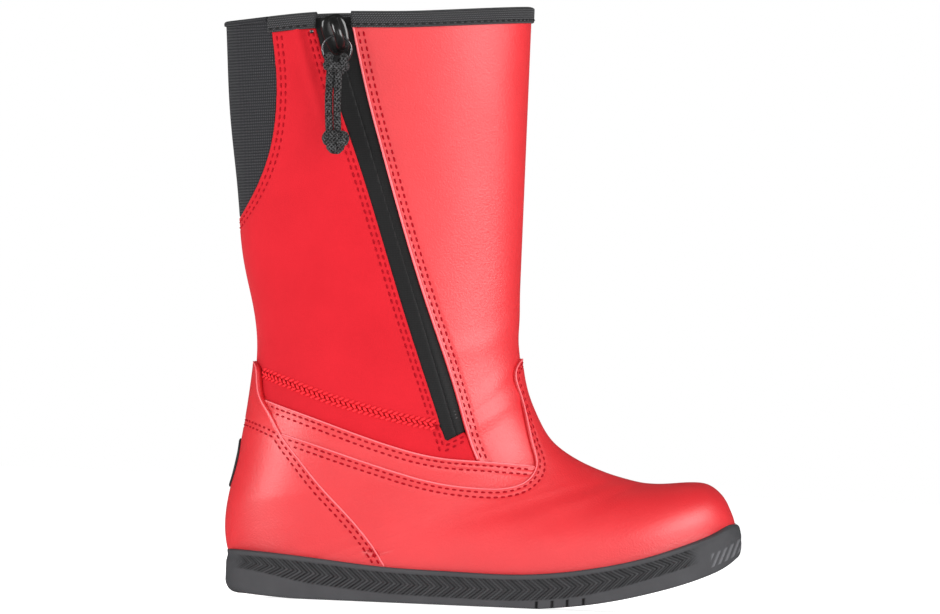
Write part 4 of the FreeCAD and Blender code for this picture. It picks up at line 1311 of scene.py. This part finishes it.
# Mask of the raised toe bars, lightened in the rubber as a painted highlight.
raised = np.zeros((WALL, LOOP))
BAND_DROP = 1.5                                       # plain rim above the herringbone
band_height = 5.2 + 2.8 * smooth_step((x_loop + 90) / 30.0) - 1.6 * smooth_step((x_loop - 30) / 35.0)
for level in range(WALL):
    z = low_z + (top_z - low_z) * heights[level]
    up = z - low_z
    foot = np.clip(1 - up / corner, 0, 1)
    inset = corner * (1 - np.sqrt(np.maximum(1 - foot ** 2, 0))) * (0.75 + 0.15 * heelness)
    rim = np.clip(1 - (top_z - z) / rim_round, 0, 1)
    inset = inset + rim_round * (1 - np.sqrt(np.maximum(1 - rim ** 2, 0)))
    inset = inset + 0.45 * smooth_step(1 - np.abs(top_z - z - 2.0) / 2.6)
    drop = top_z - BAND_DROP - z
    place = drop / band_height
    inside = smooth_step(drop / 0.5) * smooth_step((band_height - drop) / 0.5)
    inside = inside * smooth_step((78 - x_loop) / 6) * smooth_step((x_loop + 91.5) / 6)
    phase = (outer_run + 4.9 * np.abs(2 * place - 1)) / RIB_PITCH
    rib = 0.5 + 0.5 * np.cos(2 * math.pi * phase)
    step3 = 0.5 + 0.5 * np.cos(2 * math.pi * phase / 3)
    cut_in = inside * (0.60 * (1 - rib) ** 1.3 + 0.25 * (1 - step3))
    inset = inset + cut_in
    groove_shade[level] = np.clip(cut_in / 0.75, 0, 1)
    for slit in SLITS:
        gap = smooth_step(1.6 - np.abs(x_loop - slit) / 0.45)
        slot = gap * smooth_step((2.9 - up) / 0.4)
        inset = inset + 0.9 * slot
        groove_shade[level] = np.maximum(groove_shade[level], slot)
    toe = smooth_step((x_loop - 81.0) / 0.5) * smooth_step((92.3 - x_loop) / 0.5)
    lean = (x_loop - 82 - (up - 3.0) * 0.45) / 2.3
    bars = smooth_step((np.cos(2 * math.pi * lean) + 0.1) * 2.2)
    bars = bars * toe * smooth_step((up - 2.8) / 0.3) * smooth_step((8.0 - up) / 0.3)
    inset = inset - 0.35 * bars
    raised[level] = bars
    wall[level, :, :2] = outline - outward * inset[:, None]
    wall[level, :, 2] = z
shelf = []
for depth, rise in ((1.2, 0.10), (2.4, 0.15), (5.5, 0.15)):
    ring_points = np.concatenate([outline - outward * (0.8 + depth), (top_z + rise)[:, None]], axis=1)
    shelf.append(ring_points)
side_rows = np.vstack([wall, np.asarray(shelf)])
levels = len(side_rows)
vertices = list(side_rows.reshape(-1, 3))
faces = []
for level in range(levels - 1):
    for i in range(LOOP):
        a = level * LOOP + i
        b = level * LOOP + (i + 1) % LOOP
        faces.append([a, b, b + LOOP, a + LOOP])


def tread(x, y):
    """Grooves of the walking face: chevrons with a plain waist."""
    flat_part = smooth_step((x + 84) / 6) * smooth_step((78 - x) / 8)
    waist = smooth_step(np.abs(x + 22) / 4 - 2.2)
    chevron = np.cos(2 * math.pi * (x - 0.55 * np.abs(y)) / 9.0)
    return TREAD_DEPTH * flat_part * waist * smooth_step((chevron - 0.45) / 0.25)


bottom_left = wall[0, :STATIONS]
bottom_right = np.vstack([wall[0, :1], wall[0, STATIONS:][::-1], wall[0, STATIONS - 1:STATIONS]])
base_index = len(vertices)
grid = np.zeros((STATIONS, ACROSS_CELLS + 1), dtype=int)
for i in range(STATIONS):
    grid[i, 0] = i
    grid[i, -1] = i if i in (0, STATIONS - 1) else LOOP - i
    if i in (0, STATIONS - 1):
        grid[i, :] = i
        continue
    for k in range(1, ACROSS_CELLS):
        share = k / ACROSS_CELLS
        point = bottom_left[i] * (1 - share) + bottom_right[i] * share
        width = abs(bottom_right[i][1] - bottom_left[i][1]) / 2
        margin = smooth_step((width * (1 - abs(2 * share - 1)) - 4.5) / 1.0)
        grid[i, k] = len(vertices)
        rise = margin * tread(point[0], point[1] - centre_line[i])
        vertices.append((point[0], point[1], point[2] + rise))
for i in range(STATIONS - 1):
    for k in range(ACROSS_CELLS):
        loop = [grid[i, k], grid[i + 1, k], grid[i + 1, k + 1], grid[i, k + 1]]
        loop = [v for n, v in enumerate(loop) if v != loop[n - 1]]
        if len(loop) > 2:
            faces.append([int(v) for v in reversed(loop)])
# The inside of the shelf is closed by a floor under the foot.
top_ring = (levels - 1) * LOOP
for i in range(STATIONS - 1):
    right_here = top_ring + (0 if i == 0 else LOOP - i)
    right_next = top_ring + (STATIONS - 1 if i + 1 == STATIONS - 1 else LOOP - i - 1)
    loop = [top_ring + i, top_ring + i + 1, right_next, right_here]
    loop = [v for n, v in enumerate(loop) if v != loop[n - 1]]
    if len(loop) > 2:
        faces.append(loop)
# Painted shade in the grooves and slits.
shade = np.zeros(len(vertices))
shade[:WALL * LOOP] = groove_shade.reshape(-1)
# Painted highlight on the raised toe bars.
shine = np.zeros(len(vertices))
shine[:WALL * LOOP] = raised.reshape(-1)
sole = new_object("outsole_rubber", vertices, faces, SOLE_RUBBER, layers={"groove_shade": shade, "wear_and_highlight": shine})
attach(sole, "boot")
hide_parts("outsole", "midsole_foam", "lasting_board")

# ---------------------------------------------------------------- footbed and heel badge
BED_ROWS = 150
BED_CELLS = 40
bed_theta = np.linspace(0, math.pi, BED_ROWS)
bed_x = -86.0 + (84.5 + 86.0) * (1 - np.cos(bed_theta)) / 2
bed_half = plan_half(bed_x, -87.0, 85.0, -3.6)
bed_top = np.interp(bed_x, [-90, -60, -30, 10, 40, 70, 88], [14.2, 14.2, 14.6, 13.6, 16.5, 24, 29.4])
bed_low = np.interp(bed_x, [-90, 5, 30, 57, 76, 89], [9.6, 9.6, 12.6, 17.2, 23, 29.0])
upper_rows, lower_rows = [], []
for i in range(BED_ROWS):
    for k in range(BED_CELLS + 1):
        share = 2 * k / BED_CELLS - 1
        y = plan_centre(bed_x[i]) + bed_half[i] * share
        cup = 2.6 * smooth_step((np.abs(share) - 0.55) / 0.45) * smooth_step((30 - bed_x[i]) / 60)
        upper_rows.append((bed_x[i], y, bed_top[i] - 0.4 + cup * 0.9))
        lower_rows.append((bed_x[i], y, bed_low[i] + 0.1))
bed_vertices = np.asarray(upper_rows + lower_rows)
cells = BED_CELLS + 1
half_count = BED_ROWS * cells
loops = []
for i in range(BED_ROWS - 1):
    for k in range(BED_CELLS):
        a = i * cells + k
        loops.append([a, a + cells, a + cells + 1, a + 1])
        loops.append([v + half_count for v in (a, a + 1, a + cells + 1, a + cells)])
    a = i * cells
    loops.append([a, a + half_count, a + cells + half_count, a + cells])
    a = i * cells + BED_CELLS
    loops.append([a, a + cells, a + cells + half_count, a + half_count])
for k in range(BED_CELLS):
    loops.append([k, k + 1, k + 1 + half_count, k + half_count])
    a = (BED_ROWS - 1) * cells + k
    loops.append([a, a + half_count, a + 1 + half_count, a + 1])
bed = new_object("footbed_jersey_top", bed_vertices, loops, BED_CLOTH, bed_vertices[:, :2])
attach(bed, "boot")
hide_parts("footbed")

BADGE_WIDTH = 5.5                                     # half the oval's width and height
BADGE_HEIGHT = 8.8
badge_oval = np.sqrt((SIDE / BADGE_WIDTH) ** 2 + ((HEIGHT - 47.5) / BADGE_HEIGHT) ** 2) - 1
badge_field = np.where(P[..., 0] < -60, badge_oval, 1.0) * BADGE_WIDTH
badge_dome = (0.25 * smooth_step(1 + badge_field / 3.0)
              - 0.2 * smooth_step(1 - np.abs(badge_field + 1.6) / 0.5))
badge = shell("heel_badge_plain", badge_field, -1.75, -1.2, BADGE_RUBBER, 0.4, badge_dome)
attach(badge, "boot")
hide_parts("heel_badge")

# ---------------------------------------------------------------- floor, light and camera
floor_material, _, floor_shader = material("pale_floor", (0.9, 0.9, 0.9), 0.7, specular=0.1)
floor_shader.inputs["Emission Color"].default_value = (1, 1, 1, 1)
floor_shader.inputs["Emission Strength"].default_value = 0.85
floor_mesh = bpy.data.meshes.new("floor")
floor_mesh.from_pydata([(-6, -6, 0), (6, -6, 0), (6, 6, 0), (-6, 6, 0)], [], [[0, 1, 2, 3]])
floor_mesh.materials.append(floor_material)
floor = bpy.data.objects.new("floor", floor_mesh)
bpy.context.collection.objects.link(floor)
floor.location.z = -0.0003
floor.visible_glossy = False

scene = bpy.context.scene
world = bpy.data.worlds.new("studio")
world.use_nodes = True
sky = world.node_tree
AMBIENT = 0.33
MIRRORED = 0.05
path = sky.nodes.new("ShaderNodeLightPath")
glossy = sky.nodes.new("ShaderNodeMapRange")
glossy.inputs["To Min"].default_value = AMBIENT
glossy.inputs["To Max"].default_value = MIRRORED
sky.links.new(path.outputs["Is Glossy Ray"], glossy.inputs["Value"])
seen = sky.nodes.new("ShaderNodeMapRange")
sky.links.new(glossy.outputs["Result"], seen.inputs["To Min"])
seen.inputs["To Max"].default_value = 1.0
sky.links.new(path.outputs["Is Camera Ray"], seen.inputs["Value"])
sky.links.new(seen.outputs["Result"], sky.nodes["Background"].inputs["Strength"])
sky.nodes["Background"].inputs["Color"].default_value = (1, 1, 1, 1)
scene.world = world
scene.view_settings.view_transform = "Standard"


def softbox(name, place, target, size, power, shines=True):
    lamp = bpy.data.lights.new(name, "AREA")
    lamp.shape = "RECTANGLE"
    lamp.size, lamp.size_y = size
    lamp.energy = power
    made = bpy.data.objects.new(name, lamp)
    bpy.context.collection.objects.link(made)
    made.visible_glossy = shines
    made.location = place
    made.rotation_euler = (Vector(target) - Vector(place)).to_track_quat("-Z", "Y").to_euler()


softbox("left", (-1.9, -1.05, 0.62), (0.0, 0.0, 0.10), (1.0, 1.35), 29)
softbox("right", (1.9, -1.2, 0.85), (0.0, 0.0, 0.12), (2.1, 1.2), 45)
softbox("front", (-0.1, -2.4, 0.35), (0.0, 0.0, 0.12), (0.5, 0.9), 2.0)
softbox("wide", (0.1, -2.4, 0.5), (0.0, 0.0, 0.12), (3.4, 1.6), 13, shines=False)
softbox("top", (0.2, -0.5, 1.5), (0.0, 0.0, 0.1), (0.9, 0.7), 3, shines=False)
softbox("behind", (0.2, 1.7, 1.4), (0.0, 0.0, 0.1), (1.2, 0.8), 8, shines=False)

CAMERA_CENTRE = (-9.0, 107.2)
VIEW_WIDTH = 338.4
CAMERA_FAR = 9000.0
camera_data = bpy.data.cameras.new("camera")
camera_data.sensor_width = 36
camera_data.lens = 36 * CAMERA_FAR / VIEW_WIDTH
camera_data.clip_end = 30
camera = bpy.data.objects.new("camera", camera_data)
bpy.context.collection.objects.link(camera)
LEAN = 0.04188                                        # the camera's slight turn about its own axis
LEVEL = 0.99912
right_way = Vector((LEVEL, 0, LEAN)).normalized()
up_way = Vector((-LEAN, 0, LEVEL)).normalized()
back_way = right_way.cross(up_way)
turned = Matrix((right_way, up_way, back_way)).transposed().to_4x4()
turned.translation = Vector((CAMERA_CENTRE[0] * MM, -CAMERA_FAR * MM, CAMERA_CENTRE[1] * MM))
camera.matrix_world = turned
scene.camera = camera
